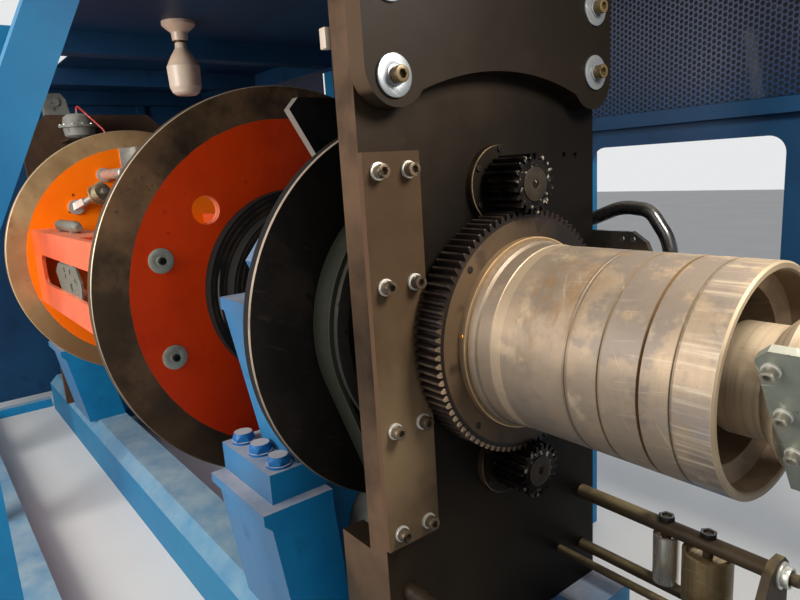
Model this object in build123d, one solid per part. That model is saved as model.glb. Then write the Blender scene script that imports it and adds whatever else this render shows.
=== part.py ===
"""Cable taping machine: twin disc taping head, gear plate with lapped sleeve, base and guard.

Millimetres. X runs along the cable from the rear end to the outlet, Z is up from the floor,
and Y is across the machine, with the open side of the guard at -Y.
"""
import math
import os

from build123d import *

# Overall
AXIS_Z = 1000.0
FIT = 0.05
SEAT = 0.3
THROUGH = 1.0

# Taping head rotor
DISC_R = 575.0
DISC_T = 30.0
DISC_EDGE = 3.0
REAR_DISC_X = -1081.0
FRONT_DISC_X = 431.0
TUBE_R = 120.0
TUBE_BORE_R = 90.0
TUBE_REAR_LENGTH = 349.0
TUBE_FRONT_LENGTH = 734.0
HUB_R = 283.0
HUB_T = 38.0
HUB_NECK_R = 236.0
HUB_NECK_T = 46.0
HUB_NOSE_R = 185.0
HUB_NOSE_T = 90.0
REAR_HUB_T = 60.0
SIGHT_HOLE_R = 39.0
SIGHT_HOLE_PLACE_R = 351.0
SIGHT_HOLE_ANGLE = 136.0
BLACK_DISC_R = 431.0
BLACK_DISC_T = 28.0
BLACK_DISC_X = 1027.0
PULLEY_R = 288.0
PULLEY_T = 84.0
PULLEY_RIM_T = 26.0
PULLEY_RECESS = 40.0
BELT_T = 9.0
BELT_W = 60.0
BELT_INSET = 10.0

# Box frames between the discs
BOX_SIDE_Y = 463.0
BOX_INNER_Y = 320.0
BOX_HALF_Z = 158.0
BOX_BAR_T = 46.0
BOX_SKIN_T = 14.0
WINDOW_HALF_Z = 61.0
WINDOW_END = 171.0
WINDOW_R = 36.0
SLOT_X0 = -235.0
SLOT_X1 = -65.0
SLOT_SIDE = 12.0

# Tape guides carried by the rotor
GUIDE_FOOT_R = 33.0
GUIDE_FOOT_T = 14.0
GUIDE_FOOT_Y = -266.0
GUIDE_FOOT_Z = 241.0
GUIDE_LEAN = (135.0, 82.0, 56.0)
GUIDE_ARM_W = 36.0
GUIDE_ARM_LENGTH = 70.0
GUIDE_SHAFT_R = 13.0
GUIDE_SHAFT_LENGTH = 196.0
WHEEL_R = 38.0
WHEEL_FLANGE_R = 46.0
WHEEL_FLANGE_T = 4.0
WHEEL_W = 44.0
WHEEL_PLACE = 142.0
PIN_R = 22.0
PIN_LENGTH = 330.0
PIN_Y = -127.0
PIN_Z = 376.0
LEAF_X = 84.0
LEAF_T = 10.0
LEAF_Y = -14.0
LEAF_W = 62.0
LEAF_Z = 444.0
LEAF_H = 104.0
INNER_PLATE_T = 8.0
INNER_PLATE = ((-691, 9), (-615, 45), (-318, 50), (-264, -6), (-283, -73), (-617, -72))
INNER_HOLES = ((-521, 25, 11), (-425, 24, 11), (-514, -2, 11), (-434, -35, 17), (-355, -2, 9), (-331, -8, 7))
SPRING_Y = -393.0
SPRING_X0 = -815.0
SPRING_X1 = -420.0
SPRING_R = 22.0
IDLER_R = 34.0
IDLER_BORE_R = 12.0
IDLER_W = 28.0

# Bearing housings of the rotor
HOUSING_T = 180.0
HOUSING_X = 700.0
REAR_HOUSING_X = -1330.0
CAP_R = 262.0
CAP_CORNER_Z = 125.0
CAP_TOP_Y = 150.0
CAP_NECK = 16.0
EAR_HALF_Y = 338.0
EAR_TOP = 47.0
EAR_T = 30.0
FOOT_TOP_Z = 654.0
FOOT_T = 73.0
FOOT_Y1 = 348.0
FOOT_LENGTH = 268.0
FOOT_X_SHIFT = -75.0
BODY_HALF_Y = 268.0
BODY_EAR_INSET = 6.0
FOOT_BOLT_Y = 304.0
FOOT_BOLT_PITCH = 96.0
FOOT_BOLT_AF = 50.0
FOOT_BOLT_H = 21.0
FOOT_WASHER_R = 31.0
FOOT_WASHER_T = 6.0
FOOT_BOLTS = 3

# Pedestals and base
PED_CAP_T = 25.0
PED_CAP_BEVEL = 18.0
PED_TOP_Y1 = 387.0
PED_TOP_Y0 = 205.0
PED_FOOT_Y1 = 325.0
PED_LENGTH = 300.0
PED_WEB_INSET = 48.0
REAR_PED_TOP_Y1 = 420.0
REAR_PED_TOP_Y0 = 245.0
REAR_PED_FOOT_Y1 = 344.0
BEAM_Y1 = 345.0
BEAM_Y0 = 178.0
BEAM_H = 210.0
BEAM_BEVEL = 42.0
BASE_END_GAP = 135.0
BASE_FRONT_MARGIN = 25.0
CROSS_W = 120.0
CROSS_Z0 = 60.0
TIE_W = 60.0
TIE_H = 50.0

# Gear plate group
PLATE_X = 1236.0
PLATE_T = 54.0
PLATE_HALF_Y = 313.0
PLATE_FOOT_H = 90.0
PLATE_ROOF_GAP = 45.0
STAND_BACK = 120.0
STAND_FRONT = 90.0
UPPER_T = 40.0
UPPER_HALF_Y = 317.0
LOBE_R = 62.0
LOBE_Z = 480.0
LOBE_SHOULDER_Y = 52.0
LOBE_SHOULDER_Z = 34.0
ARCH_Z = 483.0
BAR_T = 12.0
BAR_EDGE = 2.0
BAR_W = 120.0
BAR_DOWN = 362.0
BAR_UP = 351.0
PLATE_HOLES = ((213, 329), (251, 327))
PLATE_HOLE_R = 6.0
PLATE_HOLE_DEPTH = 20.0
REAR_LUG_X = 96.0
REAR_LUG_T = 50.0
REAR_LUG_Z0 = 440.0
REAR_LUG_Z1 = 616.0
SWITCH_X = 40.0
SWITCH_OUT = 18.0
SWITCH_Z = 522.0
SWITCH_H = 34.0
SWITCH_DEEP = 30.0
TOP_ARM_X = 965.0
TOP_ARM_T = 22.0
TOP_ARM_FOOT_T = 20.0
TOP_ARM_H = 213.0
TOP_ARM_REACH = 262.0

# Gear train
MODULE = 5.0
RING_TEETH = 92
PINION_TEETH = 20
PRESSURE_ANGLE = 20.0
BACKLASH = 0.5
TIP_CHAMFER = 1.2
FLANK_STEPS = 2
RING_GAP = 17.0
RING_T = 60.0
RING_SEAT_R = 160.0
PINION_GAP = 22.0
PINION_T = 78.0
PINION_SHAFT_R = 20.0
PINION_SHAFT_REACH = 40.0
PINION_BOSS_R = 75.0
PINION_BOSS_T = 15.0
PINION_BEARING_R = 62.0
PINION_BEARING_T = 64.0

# Sleeve and what is inside it
SLEEVE_R = 170.0
SLEEVE_LENGTH = 570.0
COLLAR_R = 183.0
COLLAR_T = 14.0
COLLAR_STEP = 7.0
JOURNAL_R = 150.0
SLEEVE_BORE_R = 132.0
MOUTH_BORE_R = 157.0
MOUTH_DEPTH = 36.0
MOUTH_EDGE = 3.0
GROOVES = ((344.0, 1.6), (401.0, 2.2), (464.0, 5.0), (511.0, 2.2))
GROOVE_W = 5.0
BEARING_WALL = 34.0
BEARING_LIP = 8.0
GUIDE_R = 82.0
GUIDE_BORE_R = 66.0
GUIDE_INSIDE = 51.0
GUIDE_NECK_LENGTH = 67.0
GUIDE_BODY_R = 112.0
GUIDE_LENGTH = 365.0
ARM_TILT = 32.0
ARM_FACE_R = 100.0
ARM_T = 12.0
ARM_START = 44.0
ARM_LENGTH = 140.0
ARM_UP = 90.0
ARM_DOWN = 178.0
ARM_CORNER = 19.0
STAND_COLUMN_T = 50.0
STAND_COLUMN_HALF_Y = 70.0
STAND_SEAT_HALF_Y = 110.0
STAND_SEAT_T = 30.0
STAND_END = 35.0
STAND_SEAT_MARGIN = 25.0
STAND_FOOT_BACK = 45.0
STAND_FOOT_FRONT = 30.0
STAND_FOOT_T = 20.0

# Rods and rollers under the sleeve
ROD_Y = 268.0
ROD_Z = 536.0
ROD_R = 17.0
LOW_ROD_Z = 395.0
LOW_ROD_R = 13.0
THIN_ROD_Y = 183.0
THIN_ROD_Z = 420.0
THIN_ROD_R = 9.0
ROD_LENGTH = 430.0
ROD_PLATE_T = 16.0
ROD_TAIL = 48.0
SMALL_ROLLER = (218.0, 27.0)
LARGE_ROLLER = (308.0, 49.0)
ROLLER_AXLE_R = 10.0
ROLLER_WALL = 7.0
TAIL_SHARE = 0.7
AXLE_END = 6.0
LUG_BELOW = 27.0
LUG_OUT = 32.0
LUG_IN = 23.0
LUG_CORNER = 12.0
LUG_SHOULDER = 18.0
LUG_THIN = 24.0

# Belt drive
DRIVE_Z = 420.0
DRIVE_PULLEY_R = 90.0
DRIVE_FLANGE = 8.0
MOTOR_R = 130.0
MOTOR_LENGTH = 412.0
MOTOR_FOOT_HALF_Y = 110.0
MOTOR_FOOT_LENGTH = 320.0
MOTOR_CLEARANCE = 10.0

# Rear plate and brake
REAR_PLATE_X = -1520.0
REAR_PLATE_T = 30.0
REAR_PLATE_HALF_Y = 370.0
REAR_PLATE_ROOF_GAP = 212.0
REAR_PLATE_CORNER = 122.0
CHAMBER_X = -1385.0
CHAMBER_Y = -125.0
CHAMBER_ROOF_GAP = 278.0
CHAMBER_R = 92.0
CHAMBER_DOME_R = 74.0
CHAMBER_DOME_H = 58.0
CHAMBER_RIM_T = 12.0
PORT_H = 12.0
PORT_R = 8.0
SHELF_T = 12.0
SHELF_FLANGE_H = 70.0
VALVE_Y = -190.0
VALVE_HALF_Y = 52.0
VALVE_T = 60.0
VALVE_RISE = 108.0
HOSE_R = 5.0
BRAKE_HOSE_BENDS = [12.0, 26.0, 60.0, 60.0]
HOSE_RISE = 34.0
HOSE_SWEEP = ((62.0, 22.0, -10.0), (102.0, 88.0, -96.0))
HOSE_REACH = 140.0
HOSE_DROP = 120.0

# Black hose beside the gear plate
LOOP_Y = 372.0
LOOP_R = 15.5
LOOP_TOP = 216.0
LOOP_BACK = 70.0
LOOP_BLOCK_TOP = 156.0
LOOP_BLOCK_H = 90.0
LOOP_BLOCK_LENGTH = 186.0
LOOP_BLOCK_HALF_Y = 30.0
SIDE_HOSE_BENDS = [120.0, 120.0, 44.0, 100.0]

# Guard
GUARD_HALF_X = 2280.0
GUARD_HALF_Y = 930.0
POST = 80.0
INNER_PORTALS = (-1420.0, -600.0, 830.0)
ROOF_Z = 1900.0
SHEET = 4.0
KNEE_Z = 1110.0
ROOF_EDGE_Y = 474.0
SILL_Y = 715.0
SILL_H = 80.0
POST_FOOT_T = 12.0
POST_FOOT_MARGIN = 40.0
WINDOW_MARGIN = 37.0
TWIN_WINDOW_PILLAR = 120.0
WALL_WINDOW_H = 540.0
WALL_WINDOW_R = 45.0
PIERCED_H = 376.0
PIERCED_T = 3.0
ROOF_MARGIN = 84.0
LAP = 15.0
RAIL_H = 38.0
RAIL_T = 30.0
RAIL_GAP = 4.0
WINDOW_DROP = 52.0
LOWER_RAIL_Z = 560.0
LOWER_RAIL_H = 80.0
LINER_X0 = -150.0
LINER_T = 7.0
HATCH_X0 = -1416.0
HATCH_X1 = -823.0
HATCH_Y = -190.0
WALL_RIB_Y0 = 430.0
WALL_RIB_Y1 = 475.0
WALL_RIB_T = 30.0
ANCHOR_IN = 170.0
ANCHOR_Y = 780.0
ANCHOR_R = 9.0

# Lamp under the roof
LAMP_X = -300.0
LAMP_Y = 25.0
LAMP_BASE_R = 60.0
LAMP_NECK_R = 28.0
LAMP_HOLDER_H = 70.0
BULB_R = 60.0
BULB_NECK_R = 20.0
BULB_H = 189.0

# Places worked out from the sizes above
TUBE_X0 = REAR_DISC_X - TUBE_REAR_LENGTH
TUBE_X1 = FRONT_DISC_X + TUBE_FRONT_LENGTH
DISC_FACE_X = REAR_DISC_X + DISC_T
GEAR_CENTRE = MODULE * (RING_TEETH + PINION_TEETH) / 2
PLATE_FRONT = PLATE_X + PLATE_T
PLATE_Z0 = BEAM_H + PLATE_FOOT_H
PLATE_Z1 = ROOF_Z - PLATE_ROOF_GAP
RING_X0 = PLATE_FRONT + RING_GAP
PINION_X0 = PLATE_FRONT + PINION_GAP
SLEEVE_X1 = PLATE_X + SLEEVE_LENGTH
GUIDE_X0 = SLEEVE_X1 - GUIDE_INSIDE
GUIDE_X1 = GUIDE_X0 + GUIDE_LENGTH
ARM_X0 = SLEEVE_X1 + ARM_START
ARM_X1 = ARM_X0 + ARM_LENGTH
ROD_END_X = PLATE_FRONT + ROD_LENGTH
PED_TOP_Z = FOOT_TOP_Z - FOOT_T
REAR_PLATE_Z1 = ROOF_Z - REAR_PLATE_ROOF_GAP
CHAMBER_MID_Z = ROOF_Z - CHAMBER_ROOF_GAP
BASE_X0 = -GUARD_HALF_X + BASE_END_GAP
BASE_X1 = GUIDE_X1 + BASE_FRONT_MARGIN
PORTALS = (-GUARD_HALF_X + POST / 2, *INNER_PORTALS, GUARD_HALF_X - POST / 2)
SILL_X1 = INNER_PORTALS[-1] + POST / 2
WALL_Y = GUARD_HALF_Y - POST
PIERCED_Z1 = ROOF_Z - ROOF_MARGIN
PIERCED_Z0 = PIERCED_Z1 - PIERCED_H
RAIL_Z1 = PIERCED_Z0 - RAIL_GAP
RAIL_Z0 = RAIL_Z1 - RAIL_H
WALL_WINDOW_Z1 = RAIL_Z0 - WINDOW_DROP


def block(x0, x1, y0, y1, z0, z1):
    """A plain block between two corners."""
    box = Box(x1 - x0, y1 - y0, z1 - z0)
    return Pos((x0 + x1) / 2, (y0 + y1) / 2, (z0 + z1) / 2) * box


def rod_x(x0, x1, y, z, r):
    """A round bar along X."""
    bar = Cylinder(r, x1 - x0, align=(Align.CENTER, Align.CENTER, Align.MIN))
    return Pos(x0, y, z) * Rot(0, 90, 0) * bar


def rod_y(x, y0, y1, z, r):
    """A round bar along Y."""
    bar = Cylinder(r, y1 - y0, align=(Align.CENTER, Align.CENTER, Align.MIN))
    return Pos(x, y0, z) * Rot(-90, 0, 0) * bar


def rod_z(x, y, z0, z1, r):
    """A round bar along Z."""
    bar = Cylinder(r, z1 - z0, align=(Align.CENTER, Align.CENTER, Align.MIN))
    return Pos(x, y, z0) * bar


def turned(points, y=0.0, z=AXIS_Z):
    """A solid of revolution about an X axis from points of station and radius."""
    face = make_face(Polyline(*points, close=True))
    return Pos(0, y, z) * revolve(face, Axis.X)


def turned_up(points, x, y):
    """A solid of revolution about an upright axis from points of radius and height."""
    face = make_face(Polyline(*[(r, 0, z) for r, z in points], close=True))
    return Pos(x, y, 0) * revolve(face, Axis.Z)


def slab_x(points, x0, x1):
    """A prism along X from an outline of Y and Z."""
    face = make_face(Polyline(*points, close=True))
    return extrude(Plane.YZ.offset(x0) * face, amount=x1 - x0)


def slab_y(points, y0, y1):
    """A prism along Y from an outline of X and Z."""
    face = make_face(Polyline(*points, close=True))
    return extrude(Plane.XZ.offset(-y1) * face, amount=y1 - y0)


def swept(points, radii, r):
    """A round hose of radius r along straight runs joined by tangent arcs."""
    print("hose bend radii", radii)
    path = FilletPolyline(*points, radius=radii)
    start = Plane(origin=path @ 0, z_dir=path % 0)
    return sweep(start * Circle(r), path=path)


def both_sides(solid):
    """A solid and its mirror image across the machine's centre plane."""
    return [solid, mirror(solid, Plane.XZ)]


def half_turn(solid):
    """A solid of the rotor and its twin half a turn round."""
    twin = Pos(0, 0, AXIS_Z) * Rot(180, 0, 0) * Pos(0, 0, -AXIS_Z) * solid
    return [solid, twin]


def save(name, shape):
    """Write one named piece."""
    parts = shape if isinstance(shape, list) else [shape]
    body = parts[0] if len(parts) == 1 else Compound(children=parts)
    export_step(body, os.path.join("parts", name + ".step"))


def involute_point(base_r, r, start):
    """Point of an involute flank at radius r, the flank starting at the given angle."""
    roll = math.sqrt(max((r / base_r) ** 2 - 1.0, 0.0))
    angle = start + roll - math.atan(roll)
    return (r * math.cos(angle), r * math.sin(angle))


def gear_outline(teeth, turn):
    """Outline of a spur gear with involute flanks, the first tooth centred at turn degrees."""
    pitch_r = MODULE * teeth / 2
    base_r = pitch_r * math.cos(math.radians(PRESSURE_ANGLE))
    tip_r = pitch_r + MODULE
    root_r = pitch_r - 1.25 * MODULE
    pitch_roll = math.tan(math.radians(PRESSURE_ANGLE)) - math.radians(PRESSURE_ANGLE)
    half_tooth = math.pi / (2 * teeth) - BACKLASH / 4 / pitch_r
    low_r = max(root_r, base_r)
    radii = [low_r + (tip_r - low_r) * step / FLANK_STEPS for step in range(FLANK_STEPS + 1)]
    points = []
    for tooth in range(teeth):
        middle = math.radians(turn) + 2 * math.pi * tooth / teeth
        start = -half_tooth - pitch_roll
        rising = [involute_point(base_r, r, start) for r in radii]
        if root_r < base_r:
            rising.insert(0, (root_r * math.cos(start), root_r * math.sin(start)))
        flank = rising + [(x, -y) for x, y in reversed(rising)]
        cos_m = math.cos(middle)
        sin_m = math.sin(middle)
        points += [(x * cos_m - y * sin_m, x * sin_m + y * cos_m) for x, y in flank]
    return points


def gear(teeth, turn, x0, x1, z):
    """A spur gear with its tooth ends chamfered, along X."""
    wheel = slab_x(gear_outline(teeth, turn), x0, x1)
    tip_r = MODULE * (teeth + 2) / 2
    low_r = tip_r - TIP_CHAMFER
    blank = turned([(x0, 0), (x0, low_r), (x0 + TIP_CHAMFER, tip_r + 0.1), (x1 - TIP_CHAMFER, tip_r + 0.1),
                    (x1, low_r), (x1, 0)], 0.0, 0.0)
    return Pos(0, 0, z) * (wheel & blank)


def taping_disc(x0, sight_holes):
    """One of the two big discs with its broken edges and its sight holes."""
    x1 = x0 + DISC_T
    edge = DISC_EDGE
    disc = turned([(x0, TUBE_R + SEAT), (x0, DISC_R - edge), (x0 + edge, DISC_R), (x1 - edge, DISC_R),
                   (x1, DISC_R - edge), (x1, TUBE_R + SEAT)])
    for angle in sight_holes:
        y = SIGHT_HOLE_PLACE_R * math.cos(math.radians(angle))
        z = AXIS_Z + SIGHT_HOLE_PLACE_R * math.sin(math.radians(angle))
        disc -= rod_x(x0 - THROUGH, x1 + THROUGH, y, z, SIGHT_HOLE_R)
    return disc


def box_frame():
    """The near box frame that ties the two discs together, with its long window."""
    x0 = DISC_FACE_X
    x1 = FRONT_DISC_X
    z0 = AXIS_Z - BOX_HALF_Z
    z1 = AXIS_Z + BOX_HALF_Z
    skin_y = -BOX_SIDE_Y + BOX_SKIN_T
    frame = block(x0, x1, -BOX_SIDE_Y, skin_y, z0, z1)
    frame += block(x0, x1, -BOX_SIDE_Y, -BOX_INNER_Y, z0, z0 + BOX_BAR_T)
    frame += block(x0, x1, -BOX_SIDE_Y, -BOX_INNER_Y, z1 - BOX_BAR_T, z1)
    opening = RectangleRounded(x1 - x0 - 2 * WINDOW_END, 2 * WINDOW_HALF_Z, WINDOW_R)
    cut = extrude(Plane.XZ * opening, amount=BOX_SKIN_T + 2 * THROUGH)
    frame -= Pos((x0 + x1) / 2, skin_y + THROUGH, AXIS_Z) * cut
    return frame - block(SLOT_X0, SLOT_X1, skin_y + SLOT_SIDE, -BOX_INNER_Y - SLOT_SIDE,
                         z1 - BOX_BAR_T - THROUGH, z1 + THROUGH)


def tape_roller():
    """Foot with slotted arm and leaning shaft, and the flanged wheel that turns on it."""
    start = (DISC_FACE_X, GUIDE_FOOT_Y, AXIS_Z + GUIDE_FOOT_Z)
    line = Plane(origin=start, z_dir=GUIDE_LEAN).location
    low = (Align.CENTER, Align.CENTER, Align.MIN)
    arm = line * Cylinder(GUIDE_ARM_W / 2, GUIDE_ARM_LENGTH, align=low)
    arm += line * Box(GUIDE_ARM_W, GUIDE_ARM_W * 0.8, GUIDE_ARM_LENGTH, align=low)
    arm += line * Cylinder(GUIDE_SHAFT_R, GUIDE_SHAFT_LENGTH, align=low)
    arm -= block(REAR_DISC_X, DISC_FACE_X, start[1] - DISC_T * 2, start[1] + DISC_T * 2,
                 start[2] - DISC_T * 2, start[2] + DISC_T * 2)
    arm += rod_x(DISC_FACE_X, DISC_FACE_X + GUIDE_FOOT_T, start[1], start[2], GUIDE_FOOT_R)
    end = WHEEL_W - WHEEL_FLANGE_T
    bore = GUIDE_SHAFT_R + SEAT
    profile = [(bore, 0), (WHEEL_FLANGE_R, 0), (WHEEL_FLANGE_R, WHEEL_FLANGE_T), (WHEEL_R, WHEEL_FLANGE_T),
               (WHEEL_R, end), (WHEEL_FLANGE_R, end), (WHEEL_FLANGE_R, WHEEL_W), (bore, WHEEL_W)]
    wheel = line * Pos(0, 0, WHEEL_PLACE) * turned_up(profile, 0, 0)
    return arm, wheel


def tape_pin():
    """Long smooth guide pin with its foot and its end button."""
    x0 = DISC_FACE_X
    z = AXIS_Z + PIN_Z
    x1 = x0 + PIN_LENGTH
    return turned([(x0, 0), (x0, PIN_R + 10), (x0 + 10, PIN_R + 10), (x0 + 10, PIN_R - 8),
                   (x0 + 24, PIN_R - 8), (x0 + 24, PIN_R), (x1 - 3, PIN_R), (x1, PIN_R - 3),
                   (x1, 0)], PIN_Y, z)


def tape_leaf():
    """Angle bracket screwed to the rear disc."""
    z0 = AXIS_Z + LEAF_Z - LEAF_H / 2
    z1 = z0 + LEAF_H
    y0 = LEAF_Y - LEAF_W / 2
    leaf = block(DISC_FACE_X, DISC_FACE_X + LEAF_T, y0, y0 + LEAF_W, z0, z1)
    wing = block(DISC_FACE_X, DISC_FACE_X + LEAF_X, y0 + LEAF_W - LEAF_T, y0 + LEAF_W, z0, z1)
    nose = [(DISC_FACE_X + LEAF_X - 30, z0 - THROUGH), (DISC_FACE_X + LEAF_X + THROUGH, z0 - THROUGH),
            (DISC_FACE_X + LEAF_X + THROUGH, z0 + 34)]
    return leaf + wing - slab_y(nose, y0 + LEAF_W - LEAF_T - THROUGH, y0 + LEAF_W + THROUGH)


def inner_plate():
    """Drilled plate fixed behind the window of the near box frame."""
    y0 = -BOX_SIDE_Y + BOX_SKIN_T + SEAT
    y1 = y0 + INNER_PLATE_T
    plate = slab_y([(x, AXIS_Z + z) for x, z in INNER_PLATE], y0, y1)
    top = AXIS_Z + max(z for x, z in INNER_PLATE)
    plate += block(INNER_PLATE[1][0] + 40, INNER_PLATE[2][0] - 40, y0, y1, top - THROUGH,
                   AXIS_Z + BOX_HALF_Z - BOX_BAR_T - SEAT)
    for x, z, r in INNER_HOLES:
        plate -= rod_y(x, y0 - THROUGH, y1 + THROUGH, AXIS_Z + z, r)
    return plate


def spring_unit():
    """Tape tension spring housing lying on the top bar of the near box frame."""
    top = AXIS_Z + BOX_HALF_Z
    z = top + SPRING_R + 2
    unit = turned([(SPRING_X0, 0), (SPRING_X0, 13), (SPRING_X0 + 20, 13), (SPRING_X0 + 20, 7),
                   (SPRING_X0 + 46, 7), (SPRING_X0 + 46, 17), (SPRING_X0 + 58, 17), (SPRING_X0 + 58, 13),
                   (SPRING_X0 + 66, 13), (SPRING_X0 + 66, SPRING_R), (SPRING_X1 - 60, SPRING_R),
                   (SPRING_X1, 12), (SPRING_X1, 0)], SPRING_Y, z)
    for x in (SPRING_X0 + 90, SPRING_X1 - 100):
        unit += block(x, x + 26, SPRING_Y - 16, SPRING_Y + 16, top, z)
    return unit


def idler():
    """Dark idler ring in the slot of the top bar, and the pin that carries it."""
    x = (SLOT_X0 + SLOT_X1) / 2
    z = AXIS_Z + BOX_HALF_Z - BOX_BAR_T / 2 + 3
    y0 = -BOX_SIDE_Y + BOX_SKIN_T + SLOT_SIDE
    y1 = -BOX_INNER_Y - SLOT_SIDE
    middle = (y0 + y1) / 2
    wheel = rod_y(x, middle - IDLER_W / 2, middle + IDLER_W / 2, z, IDLER_R)
    wheel -= rod_y(x, y0, y1, z, IDLER_BORE_R + SEAT)
    return wheel, rod_y(x, y0, y1, z, IDLER_BORE_R)


def housing(x0):
    """Bearing housing: tapered lower body, bolting ears, eight-sided cap and bored seat."""
    x1 = x0 + HOUSING_T
    foot_x0 = x0 + FOOT_X_SHIFT
    ear = AXIS_Z + EAR_TOP
    ear_y = EAR_HALF_Y
    low = [(-BODY_HALF_Y, FOOT_TOP_Z), (-ear_y + BODY_EAR_INSET, ear - EAR_T), (-ear_y, ear - EAR_T),
           (-ear_y, ear)]
    neck = [(-CAP_R - 6, ear), (-CAP_R + CAP_NECK - 4, ear + 14), (-CAP_R + CAP_NECK, ear + 40)]
    cap = [(-CAP_R, AXIS_Z + CAP_CORNER_Z), (-CAP_TOP_Y, AXIS_Z + CAP_R)]
    near = low + neck + cap
    far = [(-y, z) for y, z in reversed(near)]
    body = slab_x(near + far, x0, x1)
    body += block(foot_x0, foot_x0 + FOOT_LENGTH, -FOOT_Y1, FOOT_Y1, PED_TOP_Z, FOOT_TOP_Z)
    return body - rod_x(x0 - THROUGH, x1 + THROUGH, 0, AXIS_Z, TUBE_R + FIT)


def housing_bolts(x0):
    """The row of big hexagon bolts that holds down each foot."""
    first_x = x0 + FOOT_X_SHIFT + FOOT_LENGTH / 2 - FOOT_BOLT_PITCH * (FOOT_BOLTS - 1) / 2
    low = (Align.CENTER, Align.CENTER, Align.MIN)
    bolts = []
    for number in range(FOOT_BOLTS):
        x = first_x + number * FOOT_BOLT_PITCH
        washer = rod_z(x, -FOOT_BOLT_Y, FOOT_TOP_Z, FOOT_TOP_Z + FOOT_WASHER_T, FOOT_WASHER_R)
        hexagon = RegularPolygon(FOOT_BOLT_AF / 2, 6, major_radius=False, rotation=20 * number)
        crown = Cone(FOOT_BOLT_AF * 0.62, FOOT_BOLT_AF * 0.46, FOOT_BOLT_H, align=low)
        head = extrude(hexagon, amount=FOOT_BOLT_H) & crown
        bolts += both_sides(washer + Pos(x, -FOOT_BOLT_Y, FOOT_TOP_Z + FOOT_WASHER_T) * head)
    return bolts


def pedestal(x0, top_y1, top_y0, foot_y1, motor_passage):
    """Two tapered columns with bevelled cap plates and a web, arched where the motor runs through."""
    x1 = x0 + PED_LENGTH
    top = PED_TOP_Z
    cap = top - PED_CAP_T
    neck = cap - PED_CAP_BEVEL
    near = [(-top_y1, top), (-top_y0, top), (-top_y0, neck), (-BEAM_Y0, BEAM_H), (-foot_y1, BEAM_H),
            (-top_y1 + PED_CAP_BEVEL, neck), (-top_y1, cap)]
    column = slab_x(near, x0, x1)
    web = slab_x([(-top_y0, top), (-top_y0, neck), (-BEAM_Y0, BEAM_H), (BEAM_Y0, BEAM_H), (top_y0, neck),
                  (top_y0, top)], x0 + PED_WEB_INSET, x1 - PED_WEB_INSET)
    if motor_passage:
        half = MOTOR_R + MOTOR_CLEARANCE
        web -= block(x0, x1, -half, half, BEAM_H - THROUGH, DRIVE_Z) + rod_x(x0, x1, 0, DRIVE_Z, half)
    return column + mirror(column, Plane.XZ) + web


def base_beam():
    """Near base beam with its long outer bevel."""
    outline = [(-BEAM_Y1, 0), (-BEAM_Y0, 0), (-BEAM_Y0, BEAM_H), (-BEAM_Y1 + BEAM_BEVEL, BEAM_H),
               (-BEAM_Y1, BEAM_H - BEAM_BEVEL)]
    return slab_x(outline, BASE_X0, BASE_X1)


def gear_plate():
    """The thick main plate with its bore, pinion bosses, drilled holes and rear lugs."""
    plate = block(PLATE_X, PLATE_FRONT, -PLATE_HALF_Y, PLATE_HALF_Y, PLATE_Z0, PLATE_Z1)
    boss_x = PLATE_FRONT + PINION_BOSS_T
    for z in (AXIS_Z - GEAR_CENTRE, AXIS_Z + GEAR_CENTRE):
        plate += rod_x(PLATE_FRONT, boss_x, 0, z, PINION_BOSS_R)
        plate -= rod_x(PLATE_X - THROUGH, boss_x + THROUGH, 0, z, PINION_SHAFT_R + 6)
    bearing_r = JOURNAL_R + BEARING_WALL + SEAT
    plate -= rod_x(PLATE_X - THROUGH, PLATE_FRONT + THROUGH, 0, AXIS_Z, bearing_r)
    for y, z in PLATE_HOLES:
        plate -= rod_x(PLATE_FRONT - PLATE_HOLE_DEPTH, PLATE_FRONT + THROUGH, y, AXIS_Z + z, PLATE_HOLE_R)
    lug = block(PLATE_X - REAR_LUG_X, PLATE_X, -PLATE_HALF_Y, -PLATE_HALF_Y + REAR_LUG_T, REAR_LUG_Z0,
                REAR_LUG_Z1)
    return plate + lug + mirror(lug, Plane.XZ)


def upper_plate():
    """The upper plate with two round lobes and the arch between them."""
    top = PLATE_Z1
    half = UPPER_HALF_Y
    lobe = AXIS_Z + LOBE_Z
    lobe_y = half - LOBE_R
    inner_y = lobe_y - LOBE_SHOULDER_Y
    inner_z = lobe - LOBE_SHOULDER_Z
    start = Polyline((-half, lobe), (-half, top), (half, top), (half, lobe))
    right = ThreePointArc((half, lobe), (lobe_y, lobe - LOBE_R), (inner_y, inner_z))
    arch = ThreePointArc((inner_y, inner_z), (0, AXIS_Z + ARCH_Z), (-inner_y, inner_z))
    left = ThreePointArc((-inner_y, inner_z), (-lobe_y, lobe - LOBE_R), (-half, lobe))
    face = make_face([*start.edges(), *right.edges(), *arch.edges(), *left.edges()])
    return extrude(Plane.YZ.offset(PLATE_FRONT) * face, amount=UPPER_T)


def side_bar():
    """Long flat bar screwed to the near edge of the gear plate."""
    y0 = -PLATE_HALF_Y - BAR_EDGE
    return block(PLATE_FRONT, PLATE_FRONT + BAR_T, y0, y0 + BAR_W, AXIS_Z - BAR_DOWN, AXIS_Z + BAR_UP)


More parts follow.
